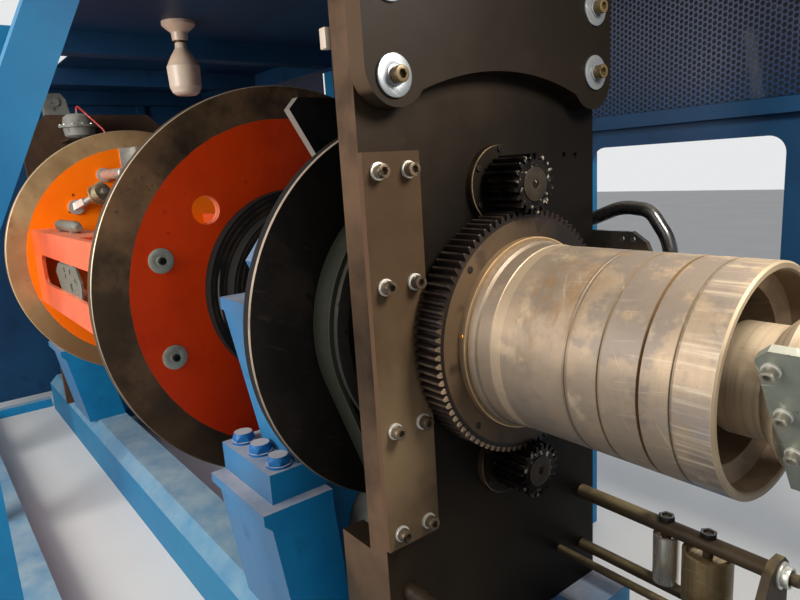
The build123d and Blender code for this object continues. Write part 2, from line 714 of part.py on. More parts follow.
def sleeve():
    """The long turned sleeve with its root collar, grooves, journal and open mouth."""
    x0 = PLATE_X + 6
    shoulder = RING_X0 - 8
    front = RING_X0 + RING_T
    step_x = front + COLLAR_T
    step_r = COLLAR_R - COLLAR_STEP
    x1 = SLEEVE_X1
    outer = [(x0, JOURNAL_R), (shoulder, JOURNAL_R), (shoulder, RING_SEAT_R - 6), (RING_X0, RING_SEAT_R - 6),
             (RING_X0, RING_SEAT_R), (front, RING_SEAT_R), (front, COLLAR_R), (step_x, COLLAR_R),
             (step_x, step_r), (step_x + 16, step_r), (step_x + 20, SLEEVE_R + 1.5),
             (step_x + 48, SLEEVE_R + 1.5), (step_x + 49, SLEEVE_R)]
    for place, depth in GROOVES:
        station = PLATE_X + place
        outer += [(station, SLEEVE_R), (station + 1, SLEEVE_R - depth),
                  (station + GROOVE_W - 1, SLEEVE_R - depth), (station + GROOVE_W, SLEEVE_R)]
    outer += [(x1 - MOUTH_EDGE, SLEEVE_R), (x1, SLEEVE_R - MOUTH_EDGE), (x1, MOUTH_BORE_R + MOUTH_EDGE),
              (x1 - MOUTH_EDGE, MOUTH_BORE_R), (x1 - MOUTH_DEPTH, MOUTH_BORE_R),
              (x1 - MOUTH_DEPTH - 12, SLEEVE_BORE_R), (x0, SLEEVE_BORE_R)]
    return turned(outer)


def sleeve_bearing():
    """The flanged bearing ring in the gear plate that the sleeve turns in."""
    outer = JOURNAL_R + BEARING_WALL
    bore = JOURNAL_R + FIT
    lip_x = PLATE_FRONT + BEARING_LIP
    lip_r = outer + BEARING_LIP
    return turned([(PLATE_X - 6, bore), (PLATE_X - 6, outer), (PLATE_FRONT, outer), (PLATE_FRONT, lip_r),
                   (lip_x, lip_r), (lip_x, bore)])


def guide_tube():
    """The fixed guide tube: neck in the sleeve's mouth, cone, and body with flats for the arms."""
    x0 = GUIDE_X0
    neck = x0 + GUIDE_NECK_LENGTH
    cone = neck + GUIDE_BODY_R - GUIDE_R
    tube = turned([(x0, GUIDE_BORE_R), (x0, GUIDE_R - 8), (x0 + 3, GUIDE_R - 2), (x0 + 8, GUIDE_R),
                   (neck, GUIDE_R), (cone, GUIDE_BODY_R), (GUIDE_X1, GUIDE_BODY_R), (GUIDE_X1, GUIDE_BORE_R)])
    tilt = Pos(0, 0, AXIS_Z) * Rot(ARM_TILT, 0, 0)
    seat = ARM_FACE_R - ARM_T
    flat = tilt * block(ARM_X0, GUIDE_X1 + THROUGH, -GUIDE_BODY_R * 2, -seat, -GUIDE_BODY_R, GUIDE_BODY_R)
    return tube - flat - mirror(flat, Plane.XZ)


def arm_plate():
    """The bevelled plate that holds the guide tube, tilted with its flat."""
    plate = block(ARM_X0, ARM_X1, -ARM_FACE_R, -ARM_FACE_R + ARM_T, -ARM_UP, ARM_DOWN)
    outline = [(ARM_X0 - THROUGH, ARM_DOWN - ARM_CORNER), (ARM_X0 + ARM_CORNER, ARM_DOWN + THROUGH),
               (ARM_X0 - THROUGH, ARM_DOWN + THROUGH)]
    corner = slab_y(outline, -ARM_FACE_R - THROUGH, -ARM_FACE_R + ARM_T + THROUGH)
    return Pos(0, 0, AXIS_Z) * Rot(ARM_TILT, 0, 0) * (plate - corner)


def guide_stand():
    """Column with a cradle under the guide tube, on a foot across the base beams."""
    end = GUIDE_X1 - STAND_END
    under = AXIS_Z - GUIDE_BODY_R - STAND_SEAT_T
    column = block(end - STAND_COLUMN_T, end, -STAND_COLUMN_HALF_Y, STAND_COLUMN_HALF_Y, BEAM_H, under)
    cradle = block(end - STAND_COLUMN_T - STAND_SEAT_MARGIN, end + STAND_SEAT_MARGIN, -STAND_SEAT_HALF_Y,
                   STAND_SEAT_HALF_Y, under, AXIS_Z - GUIDE_BODY_R + STAND_SEAT_T)
    foot_y = BEAM_Y0 + STAND_FOOT_T
    foot = block(end - STAND_COLUMN_T - STAND_FOOT_BACK, end + STAND_FOOT_FRONT, -foot_y, foot_y, BEAM_H,
                 BEAM_H + STAND_FOOT_T)
    tube = rod_x(GUIDE_X0, GUIDE_X1, 0, AXIS_Z, GUIDE_BODY_R + SEAT)
    return [column, cradle - tube, foot]


def rod_end_plate():
    """Lug with a lobed top that ties the ends of the three near rods together."""
    low = LOW_ROD_Z - LUG_BELOW
    top = ROD_Z + LUG_OUT
    outer = -ROD_Y - LUG_OUT
    inner = -THIN_ROD_Y + LUG_IN
    outline = [(outer, low), (inner, low), (inner, THIN_ROD_Z + LUG_THIN),
               (-ROD_Y + 2 * LUG_IN, ROD_Z + LUG_SHOULDER), (-ROD_Y + LUG_IN, top),
               (-ROD_Y - LUG_CORNER, top), (outer, ROD_Z + LUG_CORNER)]
    lug = slab_x(outline, ROD_END_X, ROD_END_X + ROD_PLATE_T)
    for y, z, r in near_rods():
        lug -= rod_x(ROD_END_X - THROUGH, ROD_END_X + ROD_PLATE_T + THROUGH, y, z, r * TAIL_SHARE + SEAT)
    return lug


def near_rods():
    """Place and radius of each rod on the near side: upper, lower and thin."""
    return ((-ROD_Y, ROD_Z, ROD_R), (-ROD_Y, LOW_ROD_Z, LOW_ROD_R), (-THIN_ROD_Y, THIN_ROD_Z, THIN_ROD_R))


def near_rod(y, z, r):
    """A rod from the gear plate, with its shouldered tail through the end plate."""
    bar = rod_x(PLATE_FRONT, ROD_END_X - SEAT, y, z, r)
    return bar + rod_x(PLATE_FRONT, ROD_END_X + ROD_TAIL, y, z, r * TAIL_SHARE)


def upper_rod():
    """The near upper rod with the two roller axles that hang from it down to the lower rod."""
    rod = near_rod(*near_rods()[0])
    for place, r in (SMALL_ROLLER, LARGE_ROLLER):
        rod += rod_z(PLATE_FRONT + place, -ROD_Y, LOW_ROD_Z + LOW_ROD_R + SEAT, ROD_Z + ROD_R + AXLE_END,
                     ROLLER_AXLE_R)
    return rod


def roller(place, r):
    """A roller tube with a recessed top between the two stout rods."""
    x = PLATE_FRONT + place
    z0 = LOW_ROD_Z + LOW_ROD_R + SEAT
    z1 = ROD_Z - ROD_R - SEAT
    bore = ROLLER_AXLE_R + SEAT
    inner = r - ROLLER_WALL
    profile = [(bore, z0), (r, z0), (r, z1), (inner, z1), (inner, z1 - 10), (bore, z1 - 10)]
    return turned_up(profile, x, -ROD_Y)


def top_arm():
    """Black arm on the front housing's cap: a foot and an upright plate with a leaning near edge."""
    base = AXIS_Z + CAP_R
    top = base + TOP_ARM_H
    x1 = TOP_ARM_X + TOP_ARM_T
    reach = TOP_ARM_REACH
    outline = [(-CAP_TOP_Y + 20, base), (-reach + 72, top - 145), (-reach, top - 23), (-reach + 22, top),
               (-90, top), (-50, top - 35), (-50, base)]
    plate = slab_x(outline, TOP_ARM_X, x1)
    return plate + block(HOUSING_X + HOUSING_T / 2, x1, -CAP_TOP_Y + 20, -50, base, base + TOP_ARM_FOOT_T)


def belt():
    """Flat outline of the belt round both pulleys, as one closed loop with its real thickness."""
    x0 = BLACK_DISC_X + BLACK_DISC_T + BELT_INSET
    lean = math.asin((PULLEY_R - DRIVE_PULLEY_R) / (AXIS_Z - DRIVE_Z))
    loops = []
    for grow, over in ((BELT_T, 0.0), (0.0, THROUGH)):
        big = PULLEY_R + SEAT + grow
        small = DRIVE_PULLEY_R + SEAT + grow
        outline = []
        for side, r, z in ((-1, big, AXIS_Z), (1, big, AXIS_Z), (1, small, DRIVE_Z), (-1, small, DRIVE_Z)):
            outline.append((side * r * math.cos(lean), z - r * math.sin(lean)))
        loop = slab_x(outline, x0 - over, x0 + BELT_W + over)
        loop += rod_x(x0 - over, x0 + BELT_W + over, 0, AXIS_Z, big)
        loop += rod_x(x0 - over, x0 + BELT_W + over, 0, DRIVE_Z, small)
        loops.append(loop)
    return loops[0] - loops[1]


def brake_chamber():
    """Two domed halves with their clamp rim and the air port on top."""
    z = CHAMBER_MID_Z
    rim = CHAMBER_RIM_T / 2
    dome = CHAMBER_DOME_R
    half = [(dome - 26, CHAMBER_DOME_H), (dome - 6, CHAMBER_DOME_H - 14), (dome, rim), (CHAMBER_R, rim)]
    port = z + CHAMBER_DOME_H + PORT_H
    upper = [(0, port), (PORT_R, port), (PORT_R, z + CHAMBER_DOME_H)]
    upper += [(r, z + rise) for r, rise in half]
    lower = [(r, z - rise) for r, rise in reversed(half)] + [(0, z - CHAMBER_DOME_H)]
    return turned_up(upper + lower, CHAMBER_X, CHAMBER_Y)


def rear_plate():
    """Dark upright plate behind the rear housing, bored for the cable."""
    x1 = REAR_PLATE_X + REAR_PLATE_T
    half = REAR_PLATE_HALF_Y
    top = REAR_PLATE_Z1
    shoulder = top - REAR_PLATE_CORNER
    inner = half - REAR_PLATE_CORNER
    plate = slab_x([(-half, BEAM_H), (half, BEAM_H), (half, shoulder), (inner, top), (-inner, top),
                    (-half, shoulder)], REAR_PLATE_X, x1)
    return plate - rod_x(REAR_PLATE_X - THROUGH, x1 + THROUGH, 0, AXIS_Z, TUBE_R)


def brake_bracket():
    """Angle bracket on the rear plate: an upright flange and the shelf under the brake chamber."""
    x0 = REAR_PLATE_X + REAR_PLATE_T
    y0 = CHAMBER_Y - CHAMBER_DOME_R
    y1 = CHAMBER_Y + CHAMBER_DOME_R
    top = CHAMBER_MID_Z - CHAMBER_DOME_H
    shelf = block(x0, CHAMBER_X + CHAMBER_DOME_R, y0, y1, top - SHELF_T, top)
    return shelf + block(x0, x0 + SHELF_T, y0, y1, top - SHELF_FLANGE_H, top)


def brake_valve():
    """Grey cast valve behind the top of the rear plate, with a round cover."""
    top = REAR_PLATE_Z1
    crown = top + VALVE_RISE
    y0 = VALVE_Y - VALVE_HALF_Y
    y1 = VALVE_Y + VALVE_HALF_Y
    x0 = REAR_PLATE_X - VALVE_T
    body = slab_x([(y0, top - 60), (y1 + 20, top - 60), (y1, crown - 30), (y1 - 22, crown), (y0 + 12, crown),
                   (y0, crown - 12)], x0, REAR_PLATE_X)
    return body + rod_x(REAR_PLATE_X, REAR_PLATE_X + 8, VALVE_Y, top + VALVE_RISE * 0.6, 20)


def brake_hose():
    """Thin red hose from the chamber's port over its rim and down to the rear housing."""
    port = CHAMBER_MID_Z + CHAMBER_DOME_H + PORT_H
    foot = AXIS_Z + CAP_R + SEAT
    points = [(CHAMBER_X, CHAMBER_Y, port + SEAT), (CHAMBER_X, CHAMBER_Y, port + HOSE_RISE)]
    points += [(CHAMBER_X + along, CHAMBER_Y + across, port + rise) for along, across, rise in HOSE_SWEEP]
    x = CHAMBER_X + HOSE_REACH
    y = CHAMBER_Y + HOSE_REACH
    points += [(x, y, foot + HOSE_DROP), (x, y, foot)]
    return swept(points, BRAKE_HOSE_BENDS, HOSE_R)


def side_unit():
    """Black valve body on the far edge of the gear plate, with its drilled bracket plate."""
    z0 = AXIS_Z + LOOP_BLOCK_TOP - LOOP_BLOCK_H
    x1 = PLATE_X + LOOP_BLOCK_LENGTH
    y0 = LOOP_Y - LOOP_BLOCK_HALF_Y
    top = AXIS_Z + LOOP_BLOCK_TOP
    body = block(PLATE_X, x1 + 44, y0, LOOP_Y + LOOP_BLOCK_HALF_Y, z0 - 60, z0)
    body += block(PLATE_X, PLATE_FRONT, PLATE_HALF_Y, y0, z0 - 60, z0)
    outline = [(PLATE_X, z0), (x1, z0), (x1, z0 + 30), (x1 - 18, top - 22), (x1 - 52, top), (PLATE_X, top)]
    plate = slab_y(outline, y0, y0 + 14)
    for place in (76, 49):
        plate -= rod_y(x1 - place, y0 - THROUGH, y0 + 14 + THROUGH, top - 16, 6)
    return body + plate


def side_hose():
    """Thick black hose arching from behind the gear plate down to the side unit."""
    top = AXIS_Z + LOOP_TOP
    foot = AXIS_Z + LOOP_BLOCK_TOP - LOOP_BLOCK_H
    x1 = PLATE_X + LOOP_BLOCK_LENGTH
    points = [(PLATE_X - LOOP_BACK + SEAT, LOOP_Y, top - 46), (PLATE_X - 10, LOOP_Y, top - 46),
              (PLATE_X + 92, LOOP_Y, top - 8), (x1 - 26, LOOP_Y, top - 16), (x1 + 22, LOOP_Y, top - 84),
              (x1 + 22, LOOP_Y, foot + SEAT)]
    return swept(points, SIDE_HOSE_BENDS, LOOP_R)


def hose_bracket():
    """Bracket on the back of the gear plate that holds the black hose's rear end."""
    z = AXIS_Z + LOOP_TOP - 46
    x0 = PLATE_X - LOOP_BACK
    arm = block(x0 - 24, PLATE_X, PLATE_HALF_Y - 30, PLATE_HALF_Y, z - 26, z + 26)
    return arm + block(x0 - 24, x0, PLATE_HALF_Y - 30, LOOP_Y + 26, z - 26, z + 26)


def rafter(x):
    """Sloping member from a near post up to the roof's near edge."""
    thick = POST / math.cos(math.atan2(WALL_Y - ROOF_EDGE_Y, ROOF_Z - KNEE_Z))
    outline = [(-GUARD_HALF_Y, KNEE_Z), (-WALL_Y, KNEE_Z), (-ROOF_EDGE_Y, ROOF_Z),
               (-ROOF_EDGE_Y - thick, ROOF_Z)]
    return slab_x(outline, x - POST / 2, x + POST / 2)


def post(x, y0, y1, top):
    """An upright standing on a sill, or on its own foot plate where the sill has ended."""
    low = SILL_H
    if x > SILL_X1:
        low = 0.0
    upright = block(x - POST / 2, x + POST / 2, y0, y1, low, top)
    if low > 0:
        return upright
    margin = POST_FOOT_MARGIN
    x1 = min(x + POST / 2 + margin, GUARD_HALF_X)
    inner_y0 = y0 - margin if y0 > 0 else y0
    inner_y1 = y1 + margin if y0 < 0 else y1
    return upright + block(x - POST / 2 - margin, x1, inner_y0, inner_y1, 0, POST_FOOT_T)


def bays():
    """The clear spans between the portals."""
    return [(a + POST / 2, b - POST / 2) for a, b in zip(PORTALS[:-1], PORTALS[1:])]


def windows():
    """Ends of each far window: one in a bay, and two in the last bay."""
    spans = [(x0 + WINDOW_MARGIN, x1 - WINDOW_MARGIN) for x0, x1 in bays()]
    x0, x1 = spans.pop()
    width = (x1 - x0 - TWIN_WINDOW_PILLAR) / 2
    return spans + [(x0, x0 + width), (x1 - width, x1)]


def far_wall():
    """Far wall sheet with rounded windows, hung clear of the floor in the last bay, and its header."""
    y1 = WALL_Y + SHEET
    front = SILL_X1 - POST / 2
    wall = block(-GUARD_HALF_X, front, WALL_Y, y1, SILL_H, PIERCED_Z0 + LAP)
    wall += block(front, GUARD_HALF_X, WALL_Y, y1, LOWER_RAIL_Z, PIERCED_Z0 + LAP)
    for x0, x1 in windows():
        window = RectangleRounded(x1 - x0, WALL_WINDOW_H, WALL_WINDOW_R)
        cut = extrude(Plane.XZ * window, amount=SHEET + 2 * THROUGH)
        wall -= Pos((x0 + x1) / 2, y1 + THROUGH, WALL_WINDOW_Z1 - WALL_WINDOW_H / 2) * cut
    header = block(-GUARD_HALF_X, GUARD_HALF_X, WALL_Y, y1, PIERCED_Z1 - LAP, ROOF_Z)
    return [wall, header]


def roof_sheet():
    """Roof sheet with the open hatch at its near edge, and the liner under its front part."""
    roof = block(-GUARD_HALF_X, GUARD_HALF_X, -ROOF_EDGE_Y, GUARD_HALF_Y, ROOF_Z, ROOF_Z + SHEET)
    roof -= block(HATCH_X0, HATCH_X1, -ROOF_EDGE_Y - THROUGH, HATCH_Y, ROOF_Z - THROUGH,
                  ROOF_Z + SHEET + THROUGH)
    liner = block(LINER_X0, SILL_X1 - POST, -ROOF_EDGE_Y, WALL_Y, ROOF_Z - LINER_T, ROOF_Z)
    return [roof, liner]


def rear_wall():
    """Rear wall sheet following the rafter's slope, with one upright rib on its inner face."""
    x1 = -GUARD_HALF_X + SHEET
    top = ROOF_Z - POST
    outline = [(-SILL_Y, SILL_H), (WALL_Y, SILL_H), (WALL_Y, top), (-ROOF_EDGE_Y, top), (-SILL_Y, KNEE_Z)]
    wall = slab_x(outline, -GUARD_HALF_X, x1)
    wall -= rod_x(-GUARD_HALF_X - THROUGH, x1 + THROUGH, 0, AXIS_Z, TUBE_R)
    return wall + block(x1, x1 + WALL_RIB_T, WALL_RIB_Y0, WALL_RIB_Y1, SILL_H, top)


def lamp():
    """Lamp holder under the roof, and the large bulb in it."""
    top = ROOF_Z
    z = top - LAMP_HOLDER_H
    holder = turned_up([(0, top), (LAMP_BASE_R, top), (LAMP_BASE_R, top - 12), (LAMP_BASE_R - 10, top - 22),
                        (LAMP_NECK_R + 2, top - 38), (LAMP_NECK_R, z + 6), (LAMP_NECK_R - 3, z), (0, z)],
                       LAMP_X, LAMP_Y)
    neck = z - SEAT
    low = z - BULB_H
    bulb = turned_up([(0, neck), (BULB_NECK_R, neck), (BULB_NECK_R + 2, neck - 22), (BULB_R * 0.7, neck - 52),
                      (BULB_R, neck - 88), (BULB_R - 3, low + 28), (BULB_R - 12, low + 8),
                      (BULB_R * 0.6, low), (0, low)], LAMP_X, LAMP_Y)
    return holder, bulb


def make_rotor():
    """Everything that turns with the taping head."""
    save("rotor_tube", turned([(TUBE_X0, TUBE_BORE_R), (TUBE_X0, TUBE_R), (TUBE_X1, TUBE_R),
                               (TUBE_X1, TUBE_BORE_R)]))
    save("rear_disc", taping_disc(REAR_DISC_X, ()))
    save("front_disc", taping_disc(FRONT_DISC_X, (SIGHT_HOLE_ANGLE, SIGHT_HOLE_ANGLE + 180)))
    near = box_frame()
    save("near_box_frame", near)
    save("far_box_frame", half_turn(near)[1])
    bore = TUBE_R + SEAT
    x = FRONT_DISC_X + DISC_T
    neck = x + HUB_T
    nose = neck + HUB_NECK_T
    end = nose + HUB_NOSE_T
    save("front_hub", turned([(x, bore), (x, HUB_R), (neck, HUB_R), (neck, HUB_NECK_R), (nose, HUB_NECK_R),
                              (nose, HUB_NOSE_R), (end, HUB_NOSE_R), (end, bore)]))
    x = REAR_DISC_X
    save("rear_hub", turned([(x, bore), (x, HUB_NECK_R), (x - HUB_T, HUB_NECK_R), (x - HUB_T, HUB_NOSE_R),
                             (x - REAR_HUB_T, HUB_NOSE_R), (x - REAR_HUB_T, bore)]))
    x = BLACK_DISC_X
    end = x + BLACK_DISC_T
    r = BLACK_DISC_R
    save("black_disc", turned([(x, bore), (x, r - 2), (x + 2, r), (end - 2, r), (end, r - 2), (end, bore)]))
    rim = end + PULLEY_T
    recess = rim - PULLEY_RECESS
    inner = PULLEY_R - PULLEY_RIM_T
    save("belt_pulley", turned([(end, bore), (end, PULLEY_R), (rim, PULLEY_R), (rim, inner),
                                (recess, inner - 8), (recess, TUBE_R + 40), (rim, TUBE_R + 34), (rim, bore)]))


def make_tape_guides():
    """Rollers, pins, brackets, plates and springs that guide the tape, each with its twin."""
    arm, roller_wheel = tape_roller()
    idler_ring, idler_pin = idler()
    save("tape_guides", half_turn(arm) + half_turn(tape_pin()) + half_turn(tape_leaf()))
    save("tape_rollers", half_turn(roller_wheel) + half_turn(idler_ring) + half_turn(idler_pin))
    save("frame_fittings", half_turn(inner_plate()) + half_turn(spring_unit()))


def make_base():
    """Bearing housings, pedestals and the base."""
    save("front_housing", housing(HOUSING_X))
    save("rear_housing", housing(REAR_HOUSING_X))
    save("front_housing_bolts", housing_bolts(HOUSING_X))
    save("rear_housing_bolts", housing_bolts(REAR_HOUSING_X))
    save("front_pedestal", pedestal(HOUSING_X + FOOT_X_SHIFT, PED_TOP_Y1, PED_TOP_Y0, PED_FOOT_Y1, True))
    save("rear_pedestal", pedestal(REAR_HOUSING_X + FOOT_X_SHIFT, REAR_PED_TOP_Y1, REAR_PED_TOP_Y0,
                                   REAR_PED_FOOT_Y1, False))
    save("base_beams", both_sides(base_beam()))
    half = CROSS_W / 2
    members = []
    places = (BASE_X0 + CROSS_W, REAR_PLATE_X, HOUSING_X + HOUSING_T / 2, PLATE_X + PLATE_T / 2,
              BASE_X1 - CROSS_W)
    for x in places:
        members.append(block(x - half, x + half, -BEAM_Y0, BEAM_Y0, CROSS_Z0, BEAM_H))
    half = TIE_W / 2
    for x in (PORTALS[0], INNER_PORTALS[-1]):
        members += both_sides(block(x - half, x + half, -SILL_Y, -BEAM_Y1, 0, TIE_H))
    far_post = GUARD_HALF_Y - POST - POST_FOOT_MARGIN
    x = BASE_X1 - half
    members += both_sides(block(x - half, x + half, -far_post - POST, -BEAM_Y1, 0, TIE_H))
    save("base_cross_members", members)


def make_gear_head():
    """Gear plate with its upper plate, bearing, gears and sleeve."""
    save("gear_plate", gear_plate())
    save("upper_plate", upper_plate())
    save("plate_side_bar", side_bar())
    save("plate_stand", both_sides(block(PLATE_X - STAND_BACK, PLATE_FRONT + STAND_FRONT, -BEAM_Y1 + 10,
                                         -BEAM_Y0, BEAM_H, PLATE_Z0)))
    y = -PLATE_HALF_Y
    z = AXIS_Z + SWITCH_Z
    save("plate_switch", block(PLATE_X - SWITCH_X, PLATE_X, y - SWITCH_OUT, y - SWITCH_OUT + SWITCH_DEEP, z,
                               z + SWITCH_H))
    save("sleeve_bearing", sleeve_bearing())
    save("sleeve", sleeve())
    wheel = gear(RING_TEETH, 0.0, RING_X0, RING_X0 + RING_T, AXIS_Z)
    bore = rod_x(RING_X0 - THROUGH, RING_X0 + RING_T + THROUGH, 0, AXIS_Z, RING_SEAT_R + SEAT)
    save("ring_gear", wheel - bore)
    bearings = []
    for name, z in (("upper_pinion", AXIS_Z + GEAR_CENTRE), ("lower_pinion", AXIS_Z - GEAR_CENTRE)):
        teeth = gear(PINION_TEETH, 180.0 / PINION_TEETH, PINION_X0, PINION_X0 + PINION_T, z)
        x0 = PLATE_X - PINION_SHAFT_REACH
        save(name, teeth + rod_x(x0, PINION_X0 + THROUGH, 0, z, PINION_SHAFT_R))
        body = rod_x(PLATE_X - PINION_BEARING_T, PLATE_X, 0, z, PINION_BEARING_R)
        bearings.append(body - rod_x(x0 - 6, PLATE_X + THROUGH, 0, z, PINION_SHAFT_R + FIT))
    save("pinion_bearings", bearings)


def make_outlet():
    """Guide tube, its arms and stand, and the rods with their rollers."""
    save("guide_tube", guide_tube())
    save("guide_arms", both_sides(arm_plate()))
    save("guide_stand", guide_stand())
    lower, thin = [near_rod(*rod) for rod in near_rods()[1:]]
    save("upper_rods", both_sides(upper_rod()))
    save("lower_rods", both_sides(lower) + both_sides(thin))
    save("rod_end_plates", both_sides(rod_end_plate()))
    save("small_rollers", both_sides(roller(*SMALL_ROLLER)))
    save("large_rollers", both_sides(roller(*LARGE_ROLLER)))
    save("side_unit", [side_unit(), hose_bracket()])
    save("side_hose", side_hose())


def make_drives():
    """Belt drive of the rotor, and the brake at its rear end."""
    save("top_arm", top_arm())
    save("drive_belt", belt())
    belt_x = BLACK_DISC_X + BLACK_DISC_T + BELT_INSET
    x0 = belt_x - DRIVE_FLANGE
    save("drive_pulley", rod_x(x0, belt_x + BELT_W + DRIVE_FLANGE, 0, DRIVE_Z, DRIVE_PULLEY_R))
    motor = rod_x(x0 - MOTOR_LENGTH, x0, 0, DRIVE_Z, MOTOR_R)
    foot_x = x0 - MOTOR_LENGTH / 2
    half = MOTOR_FOOT_LENGTH / 2
    motor += block(foot_x - half, foot_x + half, -MOTOR_FOOT_HALF_Y, MOTOR_FOOT_HALF_Y, BEAM_H, DRIVE_Z)
    save("drive_motor", motor)
    save("rear_plate", rear_plate())
    save("brake_bracket", brake_bracket())
    save("brake_chamber", [brake_chamber(), brake_valve()])
    save("brake_hose", brake_hose())


def make_guard():
    """Portals, sills, walls and roof of the guard, and the lamp."""
    posts = []
    for x in PORTALS:
        posts.append(post(x, -GUARD_HALF_Y, -WALL_Y, KNEE_Z))
        posts.append(post(x, WALL_Y + SHEET, GUARD_HALF_Y, ROOF_Z))
    save("guard_posts", posts)
    save("guard_rafters", [rafter(x) for x in PORTALS])
    half = POST / 2
    save("roof_beams", [block(x - half, x + half, -ROOF_EDGE_Y, WALL_Y, ROOF_Z - POST, ROOF_Z)
                        for x in PORTALS])
    sill = block(-GUARD_HALF_X, SILL_X1, -GUARD_HALF_Y, -SILL_Y, 0, SILL_H)
    for x in (-GUARD_HALF_X + ANCHOR_IN, SILL_X1 - ANCHOR_IN):
        sill -= rod_z(x, -ANCHOR_Y, -THROUGH, SILL_H + THROUGH, ANCHOR_R)
    save("guard_sills", both_sides(sill))
    save("far_wall", far_wall())
    save("pierced_panels", [block(x0 + 5, x1 - 5, WALL_Y - PIERCED_T, WALL_Y, PIERCED_Z0, PIERCED_Z1)
                            for x0, x1 in bays()])
    rails = [block(-GUARD_HALF_X + SHEET, GUARD_HALF_X, WALL_Y - RAIL_T, WALL_Y, RAIL_Z0, RAIL_Z1)]
    rails.append(block(SILL_X1, GUARD_HALF_X, WALL_Y - RAIL_T, WALL_Y, LOWER_RAIL_Z,
                       LOWER_RAIL_Z + LOWER_RAIL_H))
    save("wall_rail", rails)
    save("roof_sheet", roof_sheet())
    save("rear_wall", rear_wall())
    holder, bulb = lamp()
    save("lamp_holder", holder)
    save("lamp_bulb", bulb)


def main():
    """Build and write every piece."""
    os.makedirs("parts", exist_ok=True)
    make_rotor()
    make_tape_guides()
    make_base()
    make_gear_head()
    make_outlet()
    make_drives()
    make_guard()


main()
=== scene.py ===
import functools
import math

import bmesh
import bpy
from mathutils import Matrix, Vector


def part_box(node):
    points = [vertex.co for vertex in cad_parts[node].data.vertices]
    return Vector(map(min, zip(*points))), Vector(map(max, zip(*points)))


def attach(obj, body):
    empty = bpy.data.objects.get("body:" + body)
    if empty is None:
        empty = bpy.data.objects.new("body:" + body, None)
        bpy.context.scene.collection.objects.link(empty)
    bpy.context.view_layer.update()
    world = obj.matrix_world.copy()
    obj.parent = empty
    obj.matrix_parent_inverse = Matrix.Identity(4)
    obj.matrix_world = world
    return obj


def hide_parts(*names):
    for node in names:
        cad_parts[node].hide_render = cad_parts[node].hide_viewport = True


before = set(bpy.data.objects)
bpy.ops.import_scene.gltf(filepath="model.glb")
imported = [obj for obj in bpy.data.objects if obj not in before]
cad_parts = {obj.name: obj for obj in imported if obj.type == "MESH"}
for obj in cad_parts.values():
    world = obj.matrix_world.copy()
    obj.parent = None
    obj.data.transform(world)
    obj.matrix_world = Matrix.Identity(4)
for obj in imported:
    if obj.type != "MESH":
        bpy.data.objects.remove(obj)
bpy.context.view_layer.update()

MM = 0.001
AXIS_HEIGHT = 1000  # in millimetres
AXIS_Z = AXIS_HEIGHT * MM
FAR = 2.0  # an open limit, past every surface

# The photograph's view: metres, then azimuth, elevation and roll in degrees
CAMERA_PLACE = (2.1616, -0.9155, 1.3228)
CAMERA_ANGLES = (37.516, -11.627, 3.597)
CAMERA_LENS = 28.77

FLOOR_TONE = (206.41, 206.41, 204.93)
FLOOR_PALE_TONE = (212.23, 212.23, 210.80)
BACKDROP_WHITE = (0.80, 0.81, 0.82, 1)
AIR_LIGHT = (0.92, 0.95, 1.0, 1)
AIR_STRENGTH = 0.42
# Place, target, size, power and tint
LAMPS = (
    ("near_side_lamp", (1.4, -3.4, 3.4), (0.6, 0.0, 1.0), 2.6, 38, (1.0, 0.95, 0.88)),
    ("outlet_lamp", (4.4, -1.2, 2.6), (1.4, 0.0, 1.1), 2.0, 30, (1.0, 0.93, 0.84)),
    ("rear_side_lamp", (0.2, -3.2, 1.9), (-1.0, -0.2, 1.1), 1.6, 130, (1.0, 0.97, 0.92)),
    ("sleeve_lamp", (2.0, 0.05, 1.8), (1.6, 0.0, 1.0), 0.35, 22, (1.0, 0.94, 0.84)),
    ("far_side_lamp", (-0.5, 5.0, 3.6), (0.0, 0.4, 0.9), 3.0, 70, (0.96, 0.98, 1.0)),
)

# Places and sizes on the machine, in millimetres
TO_OUTLET = (1, 0, 0)
UPWARD = (0, 0, 1)
UPPER_PLATE_FACE_X = 1330
SIDE_BAR_FACE_X = 1302
FRONT_DISC_FACE_X = 461
GEAR_CENTRE = 280
BOSS_FACE_X = 1305
BOSS_SCREW_CIRCLE = 66.5
PINION_END_X = 1389.6
RING_GEAR_FACE_X = 1366.6
RING_GEAR_SCREW_CIRCLE = 205
COLLAR_PLUG_X = 1374
COLLAR_RADIUS = 182.5
ROD_END_X = 1735.8
ROD_Y = 268
ROD_Z = 536
AXLE_END_Z = 552
ROLLER_XS = (1508, 1598)
ARM_SCREW_X = 1868
CHAMBER_RIM = (-1385, -125, 1627.6)
CHAMBER_BOLT_CIRCLE = 84
SPRING_WASHER = 3.0
SUNK = 0.3  # how far one fastener sits in the next
SCREW_TURN = 0.37  # each screw is turned this much more than the last, in radians
SMOOTH_ANGLE = math.radians(35)
WASHER_SIDES = 40
SCREW_SIDES = 28
PANEL_PITCH = 15
PANEL_HOLE_R = 5.4
PANEL_SKIN = 1.5
PANEL_FACE_Y = 847
PANEL_BOTTOM_Z = 1440
PANEL_TOP_Z = 1816
PANEL_MARGIN = 3


# Small helpers

def paint(red, green, blue):
    """A screen colour from 0 to 255, as a shader reads it."""
    def linear(part):
        part /= 255
        return part / 12.92 if part <= 0.04045 else ((part + 0.055) / 1.055) ** 2.4
    return (linear(red), linear(green), linear(blue), 1.0)


def feed(tree, node, values):
    """Sets or links each named input of a node."""
    for key, value in values.items():
        if isinstance(value, bpy.types.NodeSocket):
            tree.links.new(value, node.inputs[key])
        else:
            node.inputs[key].default_value = value


